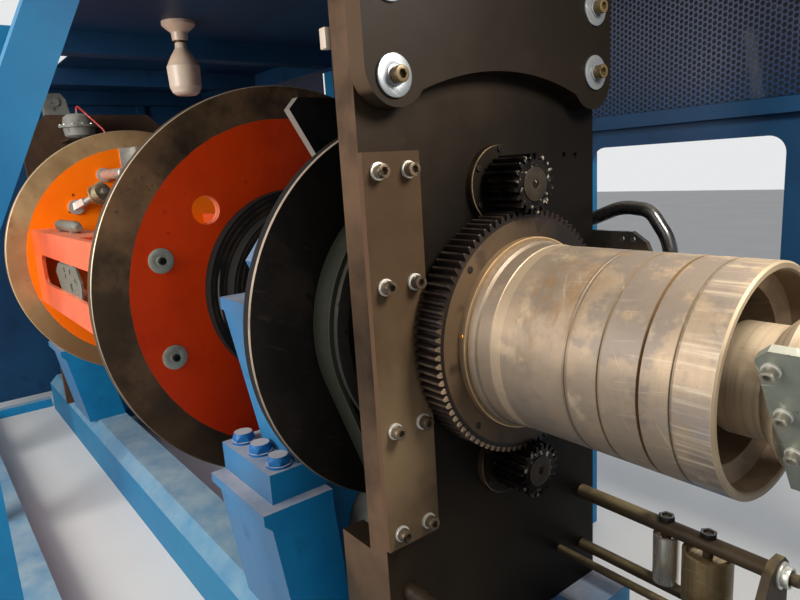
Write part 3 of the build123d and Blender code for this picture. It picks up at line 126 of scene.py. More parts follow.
def add(tree, kind, feeds=None, **settings):
    """A shader node with its settings, and each input set or linked."""
    node = tree.nodes.new("ShaderNode" + kind)
    for name, value in settings.items():
        setattr(node, name, value)
    feed(tree, node, feeds or {})
    return node


def calc(tree, operation, *values, clamp=False):
    """A Math node on the values, which are numbers or sockets."""
    node = add(tree, "Math", dict(enumerate(values)), operation=operation, use_clamp=clamp)
    return node.outputs[0]


# Shader groups shared by the finishes

def ramp(tree, value, low, high, kind="LINEAR", start=0.0):
    """Goes from start to 1 while the value goes from low to high."""
    feeds = {"Value": value, "From Min": low, "From Max": high, "To Min": start}
    return add(tree, "MapRange", feeds, interpolation_type=kind).outputs[0]


def noise(tree, vector, scale, detail, roughness=0.5):
    feeds = {"Vector": vector, "Scale": scale, "Detail": detail, "Roughness": roughness}
    return add(tree, "TexNoise", feeds).outputs["Fac"]


def new_group(name, inputs, *outputs):
    """A shader group with its inputs' defaults, where None stands for coordinates."""
    group = bpy.data.node_groups.new(name, "ShaderNodeTree")
    for label, value in inputs.items():
        kind = "Float" if isinstance(value, (int, float)) else "Vector"
        socket = group.interface.new_socket(name=label, in_out="INPUT", socket_type="NodeSocket" + kind)
        if value is not None:
            socket.default_value = value
    for label in outputs:
        group.interface.new_socket(name=label, in_out="OUTPUT", socket_type="NodeSocketFloat")
    start = group.nodes.new("NodeGroupInput").outputs
    end = group.nodes.new("NodeGroupOutput").inputs
    return group, start, end


def blotch_group():
    """Soft stains, or streaks where the coordinates are stretched."""
    group, start, end = new_group(
        "blotches", {"Vector": None, "Stretch": (1, 1, 1), "Scale": 5, "Detail": 4, "From": 0.45, "To": 0.65},
        "Mask")
    stretched = add(group, "VectorMath", {0: start["Vector"], 1: start["Stretch"]}, operation="MULTIPLY")
    cloud = noise(group, stretched.outputs[0], start["Scale"], start["Detail"], 0.6)
    group.links.new(ramp(group, cloud, start["From"], start["To"], "SMOOTHSTEP"), end["Mask"])
    return group


def band_group():
    """White between two values, with soft edges."""
    group, start, end = new_group("band", {"Value": 0, "Low": 0, "High": 1, "Softness": 0.001}, "Mask")
    masks = []
    for upper, lower in (("Value", "Low"), ("High", "Value")):
        gap = calc(group, "SUBTRACT", start[upper], start[lower])
        scaled = calc(group, "DIVIDE", gap, start["Softness"])
        masks.append(calc(group, "ADD", scaled, 0.5, clamp=True))
    group.links.new(calc(group, "MULTIPLY", *masks), end["Mask"])
    return group


def axis_group():
    """Distance and angle round the machine's axis, or round a line beside it."""
    group, start, end = new_group(
        "round_the_axis", {"Vector": None, "Y": 0, "Z": AXIS_Z}, "Radius", "Angle", "Along", "Across", "Up")
    parts = add(group, "SeparateXYZ", {0: start["Vector"]}).outputs
    across = calc(group, "SUBTRACT", parts["Y"], start["Y"])
    up = calc(group, "SUBTRACT", parts["Z"], start["Z"])
    square = calc(group, "ADD", calc(group, "MULTIPLY", across, across), calc(group, "MULTIPLY", up, up))
    measures = (calc(group, "SQRT", square), calc(group, "ARCTAN2", up, across), parts["X"], across, up)
    for measure, socket in zip(measures, end):
        group.links.new(measure, socket)
    return group


def dust_group():
    """Dust that has settled where a surface looks up."""
    group, start, end = new_group(
        "settled_dust", {"Vector": None, "Normal": None, "Amount": 0.5, "Scale": 6}, "Mask")
    level = add(group, "SeparateXYZ", {0: start["Normal"]}).outputs["Z"]
    flat = ramp(group, level, 0.35, 0.95, "SMOOTHSTEP")
    cloud = ramp(group, noise(group, start["Vector"], start["Scale"], 6, 0.65), 0.3, 0.7, start=0.35)
    mask = calc(group, "MULTIPLY", calc(group, "MULTIPLY", flat, cloud), start["Amount"], clamp=True)
    group.links.new(mask, end["Mask"])
    return group


def scratch_group():
    """Fine scratches that cross each other."""
    group, start, end = new_group("scratches", {"Vector": None, "Scale": 8, "Amount": 0.5}, "Mask")
    lines = []
    for turn, stretch in ((0.5, (1, 1, 22)), (-0.8, (1, 26, 1)), (1.9, (20, 1, 1.5))):
        turned = add(group, "VectorRotate", {"Vector": start["Vector"], "Angle": turn, "Axis": (1, 0.3, 0.2)})
        pulled = add(group, "VectorMath", {0: turned.outputs[0], 1: stretch}, operation="MULTIPLY")
        lines.append(ramp(group, noise(group, pulled.outputs[0], start["Scale"], 3), 0.66, 0.72))
    most = calc(group, "MAXIMUM", calc(group, "MAXIMUM", lines[0], lines[1]), lines[2])
    group.links.new(calc(group, "MULTIPLY", most, start["Amount"], clamp=True), end["Mask"])
    return group


def skin_group():
    """The fine unevenness of paint, cast iron or rolled plate."""
    group, start, end = new_group("surface_skin", {"Vector": None, "Scale": 300, "Coarse": 0.3}, "Height")
    fine = noise(group, start["Vector"], start["Scale"], 3)
    wide = noise(group, start["Vector"], calc(group, "MULTIPLY", start["Scale"], 0.12), 2)
    waves = calc(group, "MULTIPLY", wide, start["Coarse"])
    group.links.new(calc(group, "ADD", fine, waves), end["Height"])
    return group


GROUPS = {group.name: group for group in (
    blotch_group(), band_group(), axis_group(), dust_group(), scratch_group(), skin_group())}


class Finish:
    """A material built up from a base colour and layers laid over it by masks. Colours run from 0 to 255."""

    def __init__(self, name, base, roughness=0.5, metallic=0.0, coat=0.0, gloss=0.5):
        self.material = bpy.data.materials.new(name)
        self.material.use_nodes = True
        self.tree = self.material.node_tree
        self.shader = self.tree.nodes["Principled BSDF"]
        self.shader.inputs["Coat Weight"].default_value = coat
        self.shader.inputs["Specular IOR Level"].default_value = gloss
        coordinates = add(self.tree, "TexCoord").outputs
        self.place = coordinates["Object"]
        self.facing = coordinates["Normal"]
        self.colour = paint(*base)
        self.roughness = roughness
        self.metallic = metallic
        self.relief_normal = None

    def use(self, group, **values):
        node = add(self.tree, "Group", node_tree=GROUPS[group])
        feed(self.tree, node, {name.title(): value for name, value in values.items()})
        return node.outputs

    def blotches(self, scale, low, high, detail=4, stretch=(1, 1, 1)):
        values = {"vector": self.place, "stretch": stretch, "scale": scale, "detail": detail,
                  "from": low, "to": high}
        return self.use("blotches", **values)[0]

    def scratches(self, scale, amount):
        return self.use("scratches", vector=self.place, scale=scale, amount=amount)[0]

    def dust(self, amount, scale):
        return self.use("settled_dust", vector=self.place, normal=self.facing, amount=amount, scale=scale)[0]

    def around(self, y=0.0, z=AXIS_Z):
        return self.use("round_the_axis", vector=self.place, y=y, z=z)

    @functools.cached_property
    def axis(self):
        return self.around()

    def band(self, value, low, high, softness=0.001):
        return self.use("band", value=value, low=low, high=high, softness=softness)[0]

    def within(self, line=None, **limits):
        """White inside limits, each a low, a high and a softness, of measures round the axis or a line."""
        measures = line or self.axis
        return self.times(*(self.band(measures[name.title()], *limit) for name, limit in limits.items()))

    def facing_part(self, axis):
        return add(self.tree, "SeparateXYZ", {0: self.facing}).outputs[axis]

    def place_part(self, axis):
        return add(self.tree, "SeparateXYZ", {0: self.place}).outputs[axis]

    def times(self, *masks):
        product = masks[0]
        for mask in masks[1:]:
            product = calc(self.tree, "MULTIPLY", product, mask, clamp=True)
        return product

    def layer(self, mask, colour, roughness=None, metallic=None):
        """Lays a colour, roughness or metal over what is there, where the mask or all masks are white."""
        if isinstance(mask, tuple):
            mask = self.times(*mask)
        mixed = add(self.tree, "Mix", {0: mask, 6: self.colour, 7: paint(*colour)}, data_type="RGBA")
        self.colour = mixed.outputs[2]
        if roughness is not None:
            mixed = add(self.tree, "Mix", {0: mask, 2: self.roughness, 3: roughness})
            self.roughness = mixed.outputs[0]
        if metallic is not None:
            mixed = add(self.tree, "Mix", {0: mask, 2: self.metallic, 3: metallic})
            self.metallic = mixed.outputs[0]

    def stain(self, spots, colour, *masks, amount=None, **more):
        """Lays a colour over blotches inside masks: scale, start and end in the noise, detail, stretch."""
        masks += (self.blotches(*spots),)
        self.layer(masks if amount is None else (*masks, amount), colour, **more)

    def relief(self, height, strength, distance):
        bump = add(self.tree, "Bump", {"Height": height, "Strength": strength, "Distance": distance})
        if self.relief_normal is not None:
            self.tree.links.new(self.relief_normal, bump.inputs["Normal"])
        self.relief_normal = bump.outputs[0]

    def skin(self, scale, coarse, strength, distance):
        height = self.use("surface_skin", vector=self.place, scale=scale, coarse=coarse)[0]
        self.relief(height, strength, distance)

    def done(self):
        feed(self.tree, self.shader,
             {"Base Color": self.colour, "Roughness": self.roughness, "Metallic": self.metallic})
        if self.relief_normal is not None:
            self.tree.links.new(self.relief_normal, self.shader.inputs["Normal"])
        return self.material


# Finishes

# Turned bands along the sleeve in metres: start, end, tone and strength
SLEEVE_BANDS = (
    (1.366, 1.3818, (122, 98, 70), 0.8),
    (1.398, 1.4015, (84, 72, 62), 0.6),
    (1.4015, 1.428, (112, 98, 84), 0.8),
    (1.429, 1.452, (166, 146, 120), 0.5),
    (1.5765, 1.5865, (92, 80, 68), 0.7),
    (1.6365, 1.6420, (104, 84, 60), 0.7),
    (1.6998, 1.7045, (120, 92, 58), 0.85),
    (1.7465, 1.7520, (96, 82, 64), 0.75),
)


def blue_paint_finish(name, base, pale, shade, dust_amount, chips=0.5, gloss=0.3, painted_reflection=0.0,
                      reflection_tone=None, outer=None, dust_tone=(172, 166, 168)):
    """Sprayed machine blue, dusty on top, scuffed, and chipped to grey in places, with a pale painted
    reflection of the room on faces that look to -Y where one is asked for.
    """
    finish = Finish(name, base, roughness=0.45, gloss=gloss)
    finish.stain((2.2, 0.35, 0.7), pale, roughness=0.5)
    # Outward faces take the paler colour given; on the guard's sheets the darker colours on the other faces
    # are painted shade.
    if outer:
        axis, low, high, lighter = outer
        finish.layer(finish.band(finish.facing_part(axis), low, high, 0.2), lighter)
    # A pale painted reflection of the room, in blotches, on faces that look to -Y.
    if painted_reflection:
        near = finish.band(finish.facing_part("Y"), -FAR, -0.7, 0.2)
        finish.stain((1.8, 0.2, 0.7), reflection_tone, near, amount=painted_reflection, roughness=0.7)
    finish.stain((9, 0.58, 0.75), shade, amount=0.6, roughness=0.5)
    finish.stain((3, 0.5, 0.6), pale, finish.scratches(5, 0.25))
    finish.stain((38, 0.70, 0.73), (96, 92, 88), amount=chips, roughness=0.7)
    finish.layer(finish.dust(dust_amount, 7), dust_tone, roughness=0.9)
    finish.stain((90, 0.68, 0.72), (70, 64, 60), finish.dust(1.0, 60))
    finish.skin(420, 1.5, 0.12, 0.0005)
    return finish


def dark_plate_finish(name, base, brown, roughness):
    """Blackened plate with an oily film, brown in its worn places."""
    finish = Finish(name, base, roughness=roughness, metallic=0.05, gloss=0.08)
    finish.stain((2.6, 0.38, 0.68), brown, roughness=roughness + 0.1)
    finish.stain((9, 0.5, 0.75), base, amount=0.55, roughness=roughness - 0.1)
    finish.stain((34, 0.62, 0.72), brown, amount=0.5, roughness=roughness + 0.15)
    finish.stain((4, 0.5, 0.62), brown, finish.scratches(7, 0.16))
    finish.skin(260, 1.0, 0.16, 0.0005)
    return finish


def disc_finish(name, node, enamel, enamel_dark_and_shade, bare, bare_dark, stain, enamel_r, hole_wall):
    """A steel disc painted inside its bare rim, with painted shade on its lower half and a painted highlight
    along the upper part of its thin turned edge.
    """
    finish = Finish(name, enamel, roughness=0.42, gloss=0.16)
    finish.stain((3.2, 0.4, 0.75), enamel_dark_and_shade, roughness=0.46)
    finish.stain((34, 0.66, 0.70), enamel_dark_and_shade, amount=0.6)
    # Painted shade: the enamel darkens on the lower half.
    finish.layer((finish.within(up=(-FAR, -0.05, 0.5)), 0.5), enamel_dark_and_shade)
    wall = finish.band(finish.facing_part("X"), -0.5, 0.5, 0.1)
    finish.layer((wall, finish.within(radius=(0.29, 0.45))), hole_wall)
    finish.layer((wall, finish.within(radius=(0.0, 0.29))), (40, 33, 28))
    waver = calc(finish.tree, "MULTIPLY", finish.blotches(60, 0.3, 0.7), 0.0014)
    radius = calc(finish.tree, "ADD", finish.axis["Radius"], waver)
    rim = finish.band(radius, enamel_r, FAR, 0.0008)
    finish.layer(rim, bare, roughness=0.5, metallic=0.5)
    finish.stain((4.5, 0.35, 0.68), bare_dark, rim, roughness=0.42)
    finish.stain((5.5, 0.58, 0.70, 7), stain, rim, amount=0.8, roughness=0.58)
    finish.stain((55, 0.62, 0.70), bare_dark, rim, amount=0.6)
    finish.stain((5, 0.45, 0.62), stain, rim, finish.scratches(9, 0.2))
    # Painted shade: the rim darkens towards the bottom in the stain colour.
    finish.layer((rim, finish.within(up=(-FAR, -0.16, 0.5)), 0.85), stain, roughness=0.55)
    finish.layer(finish.within(radius=(0.5728, FAR, 0.0006)), bare_dark, roughness=0.6, metallic=0.2)
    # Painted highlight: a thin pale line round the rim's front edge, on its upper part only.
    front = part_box(node)[1].x
    line = finish.within(radius=(0.5722, FAR, 0.0005),
                         along=(front - 0.0022, front + 0.01, 0.0005))
    high = finish.within(up=(-0.1, FAR, 0.6))
    finish.stain((8, 0.2, 0.45), (176, 162, 140), line, high, roughness=0.4, metallic=0.5)
    finish.skin(330, 0.8, 0.12, 0.0005)
    return finish


def box_frame_finish():
    """Orange welded box, paler on its top face, with pale scratches."""
    finish = Finish("box_frame_orange", (244, 98, 52), roughness=0.36, coat=0.1)
    finish.stain((3.5, 0.4, 0.7), (226, 78, 32))
    finish.stain((30, 0.66, 0.7), (150, 60, 30), amount=0.6, roughness=0.6)
    finish.layer(finish.dust(0.75, 9), (244, 160, 126), roughness=0.6)
    finish.stain((4, 0.5, 0.6), (250, 150, 110), finish.scratches(8, 0.5))
    finish.skin(380, 1.2, 0.14, 0.0005)
    return finish


def sleeve_finish():
    """Worn golden-grey turned steel, with grey patches, brown scuffs and dark grooves; painted shade on its
    lower half, a bluish painted reflection low near the mouth and a painted highlight on the near side of the
    mouth.
    """
    finish = Finish("sleeve_worn_steel", (142, 124, 103), roughness=0.5, metallic=0.5)
    finish.stain((2.6, 0.36, 0.66, 5), (120, 108, 95), roughness=0.54)
    finish.stain((6, 0.48, 0.68, 7), (160, 138, 110), amount=0.8, roughness=0.46)
    finish.stain((4.6, 0.48, 0.53, 9, (1, 1.2, 1.2)), (98, 92, 90), amount=0.6, roughness=0.52)
    # Painted shade: the lower half darkens.
    finish.layer((finish.within(up=(-FAR, -0.02, 0.2)), 0.55), (92, 82, 74), roughness=0.58)
    patch = finish.within(along=(1.475, 1.535, 0.06))
    finish.stain((5, 0.42, 0.5, 9), (92, 86, 84), patch, amount=0.5, roughness=0.52)
    rubbed = finish.blotches(34, 0.42, 0.62, stretch=(1.4, 1, 0.35), detail=6)
    middle = finish.within(along=(1.46, 1.60, 0.05))
    finish.stain((4.4, 0.47, 0.58, 6), (122, 94, 64), rubbed, middle, amount=0.7, roughness=0.6)
    finish.stain((70, 0.5, 0.72, 8), (104, 90, 72), amount=0.3)
    finish.stain((13, 0.58, 0.68, 8), (176, 156, 128), amount=0.5, roughness=0.42)
    finish.stain((7, 0.42, 0.72, 5, (30, 0.5, 0.5)), (112, 98, 80), amount=0.14)
    for low, high, tone, strength in SLEEVE_BANDS:
        band = finish.within(along=(low, high, 0.0015))
        finish.stain((9, 0.15, 0.5), tone, band, amount=strength, roughness=0.5)
    collar_edge = finish.within(along=(1.3795, 1.3830), radius=(0.1815, FAR))
    finish.stain((9, 0.3, 0.55), (206, 172, 122), collar_edge, roughness=0.34)
    lip = finish.within(along=(1.752, FAR, 0.012))
    finish.stain((7, 0.46, 0.7, 5, (0.5, 14, 14)), (192, 178, 154), lip, amount=0.5, roughness=0.36)
    # Painted reflection: a bluish tint low on the sleeve near its mouth.
    low = finish.within(up=(-FAR, -0.02, 0.12))
    cool = finish.within(along=(1.74, FAR, 0.05))
    finish.stain((9, 0.47, 0.6), (100, 114, 136), cool, low, amount=0.5, roughness=0.42)
    mouth = finish.within(along=(1.8025, FAR))
    finish.layer(mouth, (134, 117, 94), roughness=0.5, metallic=0.4)
    # Painted highlight: the mouth's face is paler on the near side.
    near = finish.within(across=(-FAR, -0.03, 0.1))
    finish.stain((3, 0.35, 0.6), (188, 170, 142), mouth, near, amount=0.6, roughness=0.36)
    bore = finish.within(radius=(0.0, 0.1595, 0.002), along=(1.3, 1.806, 0.004))
    finish.layer(bore, (150, 130, 104), roughness=0.6, metallic=0.2)
    finish.stain((5, 0.42, 0.6), (112, 92, 70), bore, roughness=0.6)
    finish.stain((5, 0.45, 0.6), (190, 172, 146), finish.scratches(9, 0.2))
    finish.skin(300, 1.2, 0.12, 0.0004)
    return finish


def ring_gear_finish():
    """Oily gear, olive brown on the lit side of its face as painted light, with painted glints on the tooth
    ends at the lower near side.
    """
    finish = Finish("ring_gear_oily_steel", (26, 21, 18), roughness=0.45, metallic=0.3, gloss=0.3)
    lit = finish.within(across=(-FAR, -0.02, 0.24))
    face = finish.times(lit, finish.within(radius=(0.0, 0.2185)))
    finish.stain((6, 0.15, 0.5), (80, 63, 45), face, roughness=0.55)
    finish.stain((16, 0.56, 0.7), (26, 21, 18), amount=0.6, roughness=0.35)
    teeth = finish.within(radius=(0.2185, FAR))
    finish.layer(teeth, (30, 23, 20), roughness=0.38)
    crown = finish.within(radius=(0.2335, FAR))
    finish.stain((9, 0.45, 0.65), (96, 80, 68), crown, amount=0.6, roughness=0.34)
    # Painted glints: pale tooth ends at the lower near side only.
    outer_half = finish.within(radius=(0.2262, FAR, 0.002))
    low_near = finish.within(up=(-FAR, 0.02, 0.14), across=(-FAR, -0.05, 0.12))
    ends = finish.times(finish.within(along=(1.3632, 1.40, 0.0006)), outer_half, low_near)
    finish.stain((40, 0.25, 0.5), (160, 138, 112), ends, amount=0.6, roughness=0.36)
    finish.skin(280, 0.8, 0.1, 0.0004)
    return finish


def pinion_finish():
    """Small black gear, wet with oil, with painted glints on its end."""
    finish = Finish("pinion_oily_black", (36, 31, 28), roughness=0.26, metallic=0.8)
    finish.stain((30, 0.45, 0.65), (18, 16, 15), roughness=0.14)
    # Painted glints: pale specks on the pinion's end.
    end = finish.within(along=(1.386, 1.4, 0.002))
    finish.stain((70, 0.58, 0.64), (190, 176, 156), end, roughness=0.2)
    finish.stain((90, 0.66, 0.7), (120, 108, 94), roughness=0.22)
    finish.skin(500, 0.8, 0.25, 0.0004)
    return finish


def black_finish(name, base=(38, 36, 34), rubbed=(74, 62, 50), roughness=0.38):
    """Blackened turned steel or cast iron, rubbed brown in places."""
    finish = Finish(name, base, roughness=roughness, metallic=0.4, gloss=0.25)
    finish.stain((6, 0.45, 0.72), rubbed, roughness=roughness + 0.12)
    finish.stain((22, 0.58, 0.7), (22, 21, 20), roughness=0.3)
    finish.layer(finish.scratches(10, 0.08), (112, 100, 88))
    finish.skin(320, 1.0, 0.16, 0.0005)
    return finish


def hub_finish(name):
    """Black hub with brown turned arcs and one short painted highlight arc on its near side."""
    finish = black_finish(name)
    arcs = calc(finish.tree, "SINE", calc(finish.tree, "MULTIPLY", finish.axis["Radius"], 420))
    lines = finish.band(arcs, 0.55, FAR, 0.3)
    finish.stain((7, 0.4, 0.6), (104, 80, 58), lines, amount=0.6, roughness=0.4)
    # Painted highlight: a short bright arc on the near side.
    bright = finish.within(radius=(0.2590, 0.2625), across=(-FAR, -0.1, 0.01), up=(-0.05, 0.07, 0.03))
    finish.layer(bright, (190, 168, 140), roughness=0.28)
    wall = finish.band(finish.facing_part("X"), -0.5, 0.5, 0.1)
    finish.layer((wall, 0.95), (17, 15, 13), roughness=0.8, metallic=0.0)
    return finish


def black_disc_finish():
    """Near-black disc with a painted highlight along the upper part of its front edge."""
    finish = black_finish("brake_disc_black", (26, 23, 21), (38, 31, 26), 0.42)
    turned = calc(finish.tree, "SINE", calc(finish.tree, "MULTIPLY", finish.axis["Radius"], 1500))
    finish.relief(turned, 0.05, 0.0003)
    rim = finish.within(radius=(0.4288, FAR, 0.0006))
    edge = finish.times(rim, finish.within(along=(1.0505, 1.2)))
    finish.layer(rim, (22, 19, 17), roughness=0.8, metallic=0.0)
    # Painted highlight: the front edge of the rim is pale on its upper part only.
    high = finish.within(up=(-0.1, FAR, 0.5))
    finish.stain((9, 0.2, 0.5), (184, 164, 144), edge, high, roughness=0.3)
    return finish


def belt_finish():
    """Grey-green rubber belt with fine cross ribs, dusty and polished along its edges."""
    finish = Finish("belt_rubber", (34, 35, 29), roughness=0.7, gloss=0.12)
    ribs = calc(finish.tree, "SINE", calc(finish.tree, "MULTIPLY", finish.axis["Angle"], 258))
    finish.layer((finish.band(ribs, 0.2, FAR, 0.7), 0.3), (32, 33, 28))
    finish.stain((12, 0.45, 0.7), (48, 48, 39), amount=0.4, roughness=0.75)
    for low, high in ((1.062, 1.069), (1.121, 1.128)):
        finish.layer(finish.within(along=(low, high, 0.002)), (44, 45, 38), roughness=0.6)
    finish.relief(ribs, 0.25, 0.0005)
    finish.skin(500, 0.6, 0.1, 0.0003)
    return finish


def rubber_finish(name, base, dull, roughness):
    """Moulded rubber or plastic hose with a slight sheen."""
    finish = Finish(name, base, roughness=roughness, coat=0.3)
    finish.stain((18, 0.45, 0.7), dull, roughness=roughness + 0.2)
    finish.layer(finish.dust(0.35, 20), (120, 116, 108), roughness=0.8)
    finish.skin(600, 0.6, 0.12, 0.0003)
    return finish


def zinc_finish(name, base, green, roughness=0.42):
    """Galvanised or plated steel with a faint crystal pattern."""
    finish = Finish(name, base, roughness=roughness, metallic=0.65)
    cells = add(finish.tree, "TexVoronoi", {"Vector": finish.place, "Scale": 90.0}).outputs["Color"]
    tone = add(finish.tree, "SeparateColor", {0: cells}).outputs[0]
    finish.layer((tone, 0.35), green, roughness=roughness + 0.1)
    finish.stain((8, 0.5, 0.72), (136, 134, 124), roughness=0.55)
    finish.stain((6, 0.4, 0.6), (222, 222, 214), finish.scratches(12, 0.6))
    finish.stain((26, 0.64, 0.7), (92, 86, 76), amount=0.7, roughness=0.6)
    finish.skin(420, 0.7, 0.1, 0.0003)
    return finish


def turned_finish(name, base, dark, roughness, metallic=0.8):
    """Turned steel with fine rings along X."""
    finish = Finish(name, base, roughness=roughness, metallic=metallic)
    rings = finish.blotches(12, 0.4, 0.68, stretch=(14, 0.6, 0.6), detail=5)
    finish.layer((rings, 0.6), dark, roughness=roughness + 0.12)
    finish.stain((9, 0.55, 0.7), dark, roughness=roughness + 0.2)
    finish.layer(finish.scratches(12, 0.15), (214, 204, 188))
    finish.relief(rings, 0.08, 0.0003)
    return finish


def cast_finish():
    """Grey-painted cast body with a pebbled skin and oily dirt."""
    finish = Finish("cast_grey_paint", (120, 120, 114), roughness=0.6, metallic=0.15)
    finish.stain((8, 0.4, 0.7), (92, 90, 84), roughness=0.7)
    finish.stain((26, 0.6, 0.7), (60, 54, 48), roughness=0.45)
    finish.layer(finish.dust(0.7, 14), (176, 172, 160), roughness=0.9)
    finish.skin(240, 0.8, 0.5, 0.0008)
    return finish


def lamp_finish(name, base):
    """White lamp shell, slightly dusty on top."""
    finish = Finish(name, base, roughness=0.34, coat=0.2)
    finish.stain((14, 0.45, 0.75), (198, 186, 170), amount=0.6, roughness=0.42)
    finish.layer(finish.band(finish.place_part("Z"), 1.0, 1.748, 0.001), (186, 168, 150), roughness=0.5)
    finish.layer(finish.dust(0.5, 30), (160, 148, 132), roughness=0.8)
    ring = finish.band(finish.place_part("Z"), 1.8265, 1.8335, 0.0006)
    finish.layer(ring, (96, 78, 52), roughness=0.3, metallic=0.8)
    finish.skin(500, 0.5, 0.05, 0.0003)
    return finish


def pierced_finish():
    """The sheet behind the pierced skin: painted shade under the holes, blue between them and on its back."""
    finish = Finish("pierced_blue_sheet", (36, 62, 112), roughness=0.45, coat=0.05)
    finish.stain((1.6, 0.35, 0.7), (26, 56, 108), roughness=0.5)
    across, up = finish.place_part("X"), finish.place_part("Z")
    column = PANEL_PITCH * MM * math.sqrt(3)
    row = PANEL_PITCH * MM
    nearest = []
    for shift_x, shift_z in ((0.0, 0.0), (column / 2, row / 2)):
        x = calc(finish.tree, "WRAP", calc(finish.tree, "SUBTRACT", across, shift_x), column / 2, -column / 2)
        rise = calc(finish.tree, "SUBTRACT", up, PANEL_BOTTOM_Z * MM + shift_z)
        z = calc(finish.tree, "WRAP", rise, row / 2, -row / 2)
        square = calc(finish.tree, "ADD", calc(finish.tree, "MULTIPLY", x, x),
                      calc(finish.tree, "MULTIPLY", z, z))
        nearest.append(calc(finish.tree, "SQRT", square))
    distance = calc(finish.tree, "MINIMUM", *nearest)
    # Painted shade: dark spots where the holes of the skin lie.
    hole = finish.band(distance, -1.0, (PANEL_HOLE_R + 0.3) * MM, 0.0006)
    finish.layer(hole, (7, 11, 24), roughness=0.95)
    finish.relief(calc(finish.tree, "SUBTRACT", 1.0, hole), 0.6, 0.0015)
    return finish


def pierced_skin_finish():
    """Dark blue sheet, paler high up where light strikes along it."""
    finish = Finish("pierced_skin_paint", (42, 60, 90), roughness=0.45, gloss=0.25)
    finish.stain((1.7, 0.4, 0.7), (78, 84, 102), roughness=0.5)
    finish.stain((14, 0.52, 0.7), (34, 54, 88), amount=0.5)
    high = finish.band(finish.place_part("Z"), 1.60, FAR, 0.22)
    finish.layer((high, 0.6), (92, 96, 110), roughness=0.5)
    low = finish.band(finish.place_part("Z"), 0.0, 1.475, 0.06)
    finish.layer(low, (10, 54, 92), roughness=0.42)
    finish.skin(420, 1.0, 0.08, 0.0003)
    return finish


# Fasteners

FASTENER_MATERIALS = {key: finish.done() for key, finish in {
    "grey_washer": zinc_finish("washer_grey_zinc", (128, 132, 136), (104, 112, 120), 0.34),
    "white_zinc": zinc_finish("washer_white_zinc", (214, 212, 204), (190, 188, 178), 0.36),
    "pale_washer": zinc_finish("washer_pale_grey", (168, 166, 150), (140, 146, 134), 0.4),
    "brown_screw": black_finish("screw_dark_steel", (96, 82, 66), (70, 58, 46), 0.34),
    "olive_screw": black_finish("screw_olive_zinc", (92, 78, 54), (66, 52, 36), 0.34),
    "silver_screw": zinc_finish("screw_silver_zinc", (158, 152, 138), (120, 114, 102), 0.3),
    "end_ring": black_finish("pinion_end_steel", (34, 29, 24), (60, 50, 40), 0.36),
    "brass": turned_finish("brass_plug", (214, 168, 72), (150, 112, 44), 0.25),
    "black_screw": black_finish("screw_black_steel", (30, 28, 26), (48, 42, 38), 0.3),
}.items()}


def select_none():
    bpy.ops.object.select_all(action="DESELECT")


def only(piece):
    select_none()
    piece.select_set(True)
    bpy.context.view_layer.objects.active = piece


def settle():
    """Applies the selected piece's own place, turn and scale to its mesh."""
    bpy.ops.object.transform_apply(location=True, rotation=True, scale=True)


def leave_edit():
    bpy.ops.object.mode_set(mode="OBJECT")


def centre_origin():
    bpy.context.scene.cursor.location = (0, 0, 0)
    bpy.ops.object.origin_set(type="ORIGIN_CURSOR")


def shape_by(piece, name, kind, **settings):
    """Applies one modifier to the piece."""
    only(piece)
    modifier = piece.modifiers.new(name, kind)
    for setting, value in settings.items():
        setattr(modifier, setting, value)
    bpy.ops.object.modifier_apply(modifier=name)


def start_round(name, radius, length, sides, middle=0.0):
    """A round blank along +X that starts at the origin, before it is shaped."""
    select_none()
    bpy.ops.mesh.primitive_cylinder_add(
        vertices=sides, radius=radius * MM, depth=length * MM,
        location=((middle + length / 2) * MM, 0, 0), rotation=(0, math.pi / 2, 0))
    piece = bpy.context.object
    piece.name = piece.data.name = name
    settle()
    return piece


def edit_faces(piece, chosen):
    """Goes into edit mode with the faces that chosen() accepts selected."""
    only(piece)
    bpy.ops.object.mode_set(mode="EDIT")
    bpy.ops.mesh.select_mode(type="FACE")
    bpy.ops.mesh.select_all(action="DESELECT")
    mesh = bmesh.from_edit_mesh(piece.data)
    for face in mesh.faces:
        face.select = chosen(face)
    mesh.select_flush_mode()
    bmesh.update_edit_mesh(piece.data)


def looks_out(face):
    return face.normal.x > 0.9


def finish_edges(piece, width, angle=40):
    """Rounds the sharp edges by a bevel modifier and applies it."""
    shape_by(piece, "worn_edges", "BEVEL", width=width * MM, segments=2, limit_method="ANGLE",
             angle_limit=math.radians(angle))
    bpy.ops.object.shade_smooth_by_angle(angle=SMOOTH_ANGLE)


def cap_screw(name, radius, length, base=0.0):
    """A socket screw's head with its hexagon socket."""
    head = start_round(name, radius, length, SCREW_SIDES, base)
    finish_edges(head, radius * 0.09)
    socket = start_round("socket_tool", radius * 0.6, length * 0.7, 6, base + length * 0.45)
    shape_by(head, "socket", "BOOLEAN", operation="DIFFERENCE", solver="EXACT", object=socket)
    bpy.data.objects.remove(socket)
    only(head)
    bpy.ops.object.shade_smooth_by_angle(angle=SMOOTH_ANGLE)
    return head


def flat_washer(name, radius, thickness, dish):
    """A flat washer with a broken edge, and a slight dish round the screw."""
    ring = start_round(name, radius, thickness, WASHER_SIDES)
    edit_faces(ring, looks_out)
    bpy.ops.mesh.inset(thickness=radius * 0.5 * MM)
    bpy.ops.mesh.inset(thickness=radius * 0.06 * MM)
    bpy.ops.transform.translate(value=(-dish * MM, 0, 0))
    leave_edit()
    finish_edges(ring, thickness * 0.22, 50)
    return ring


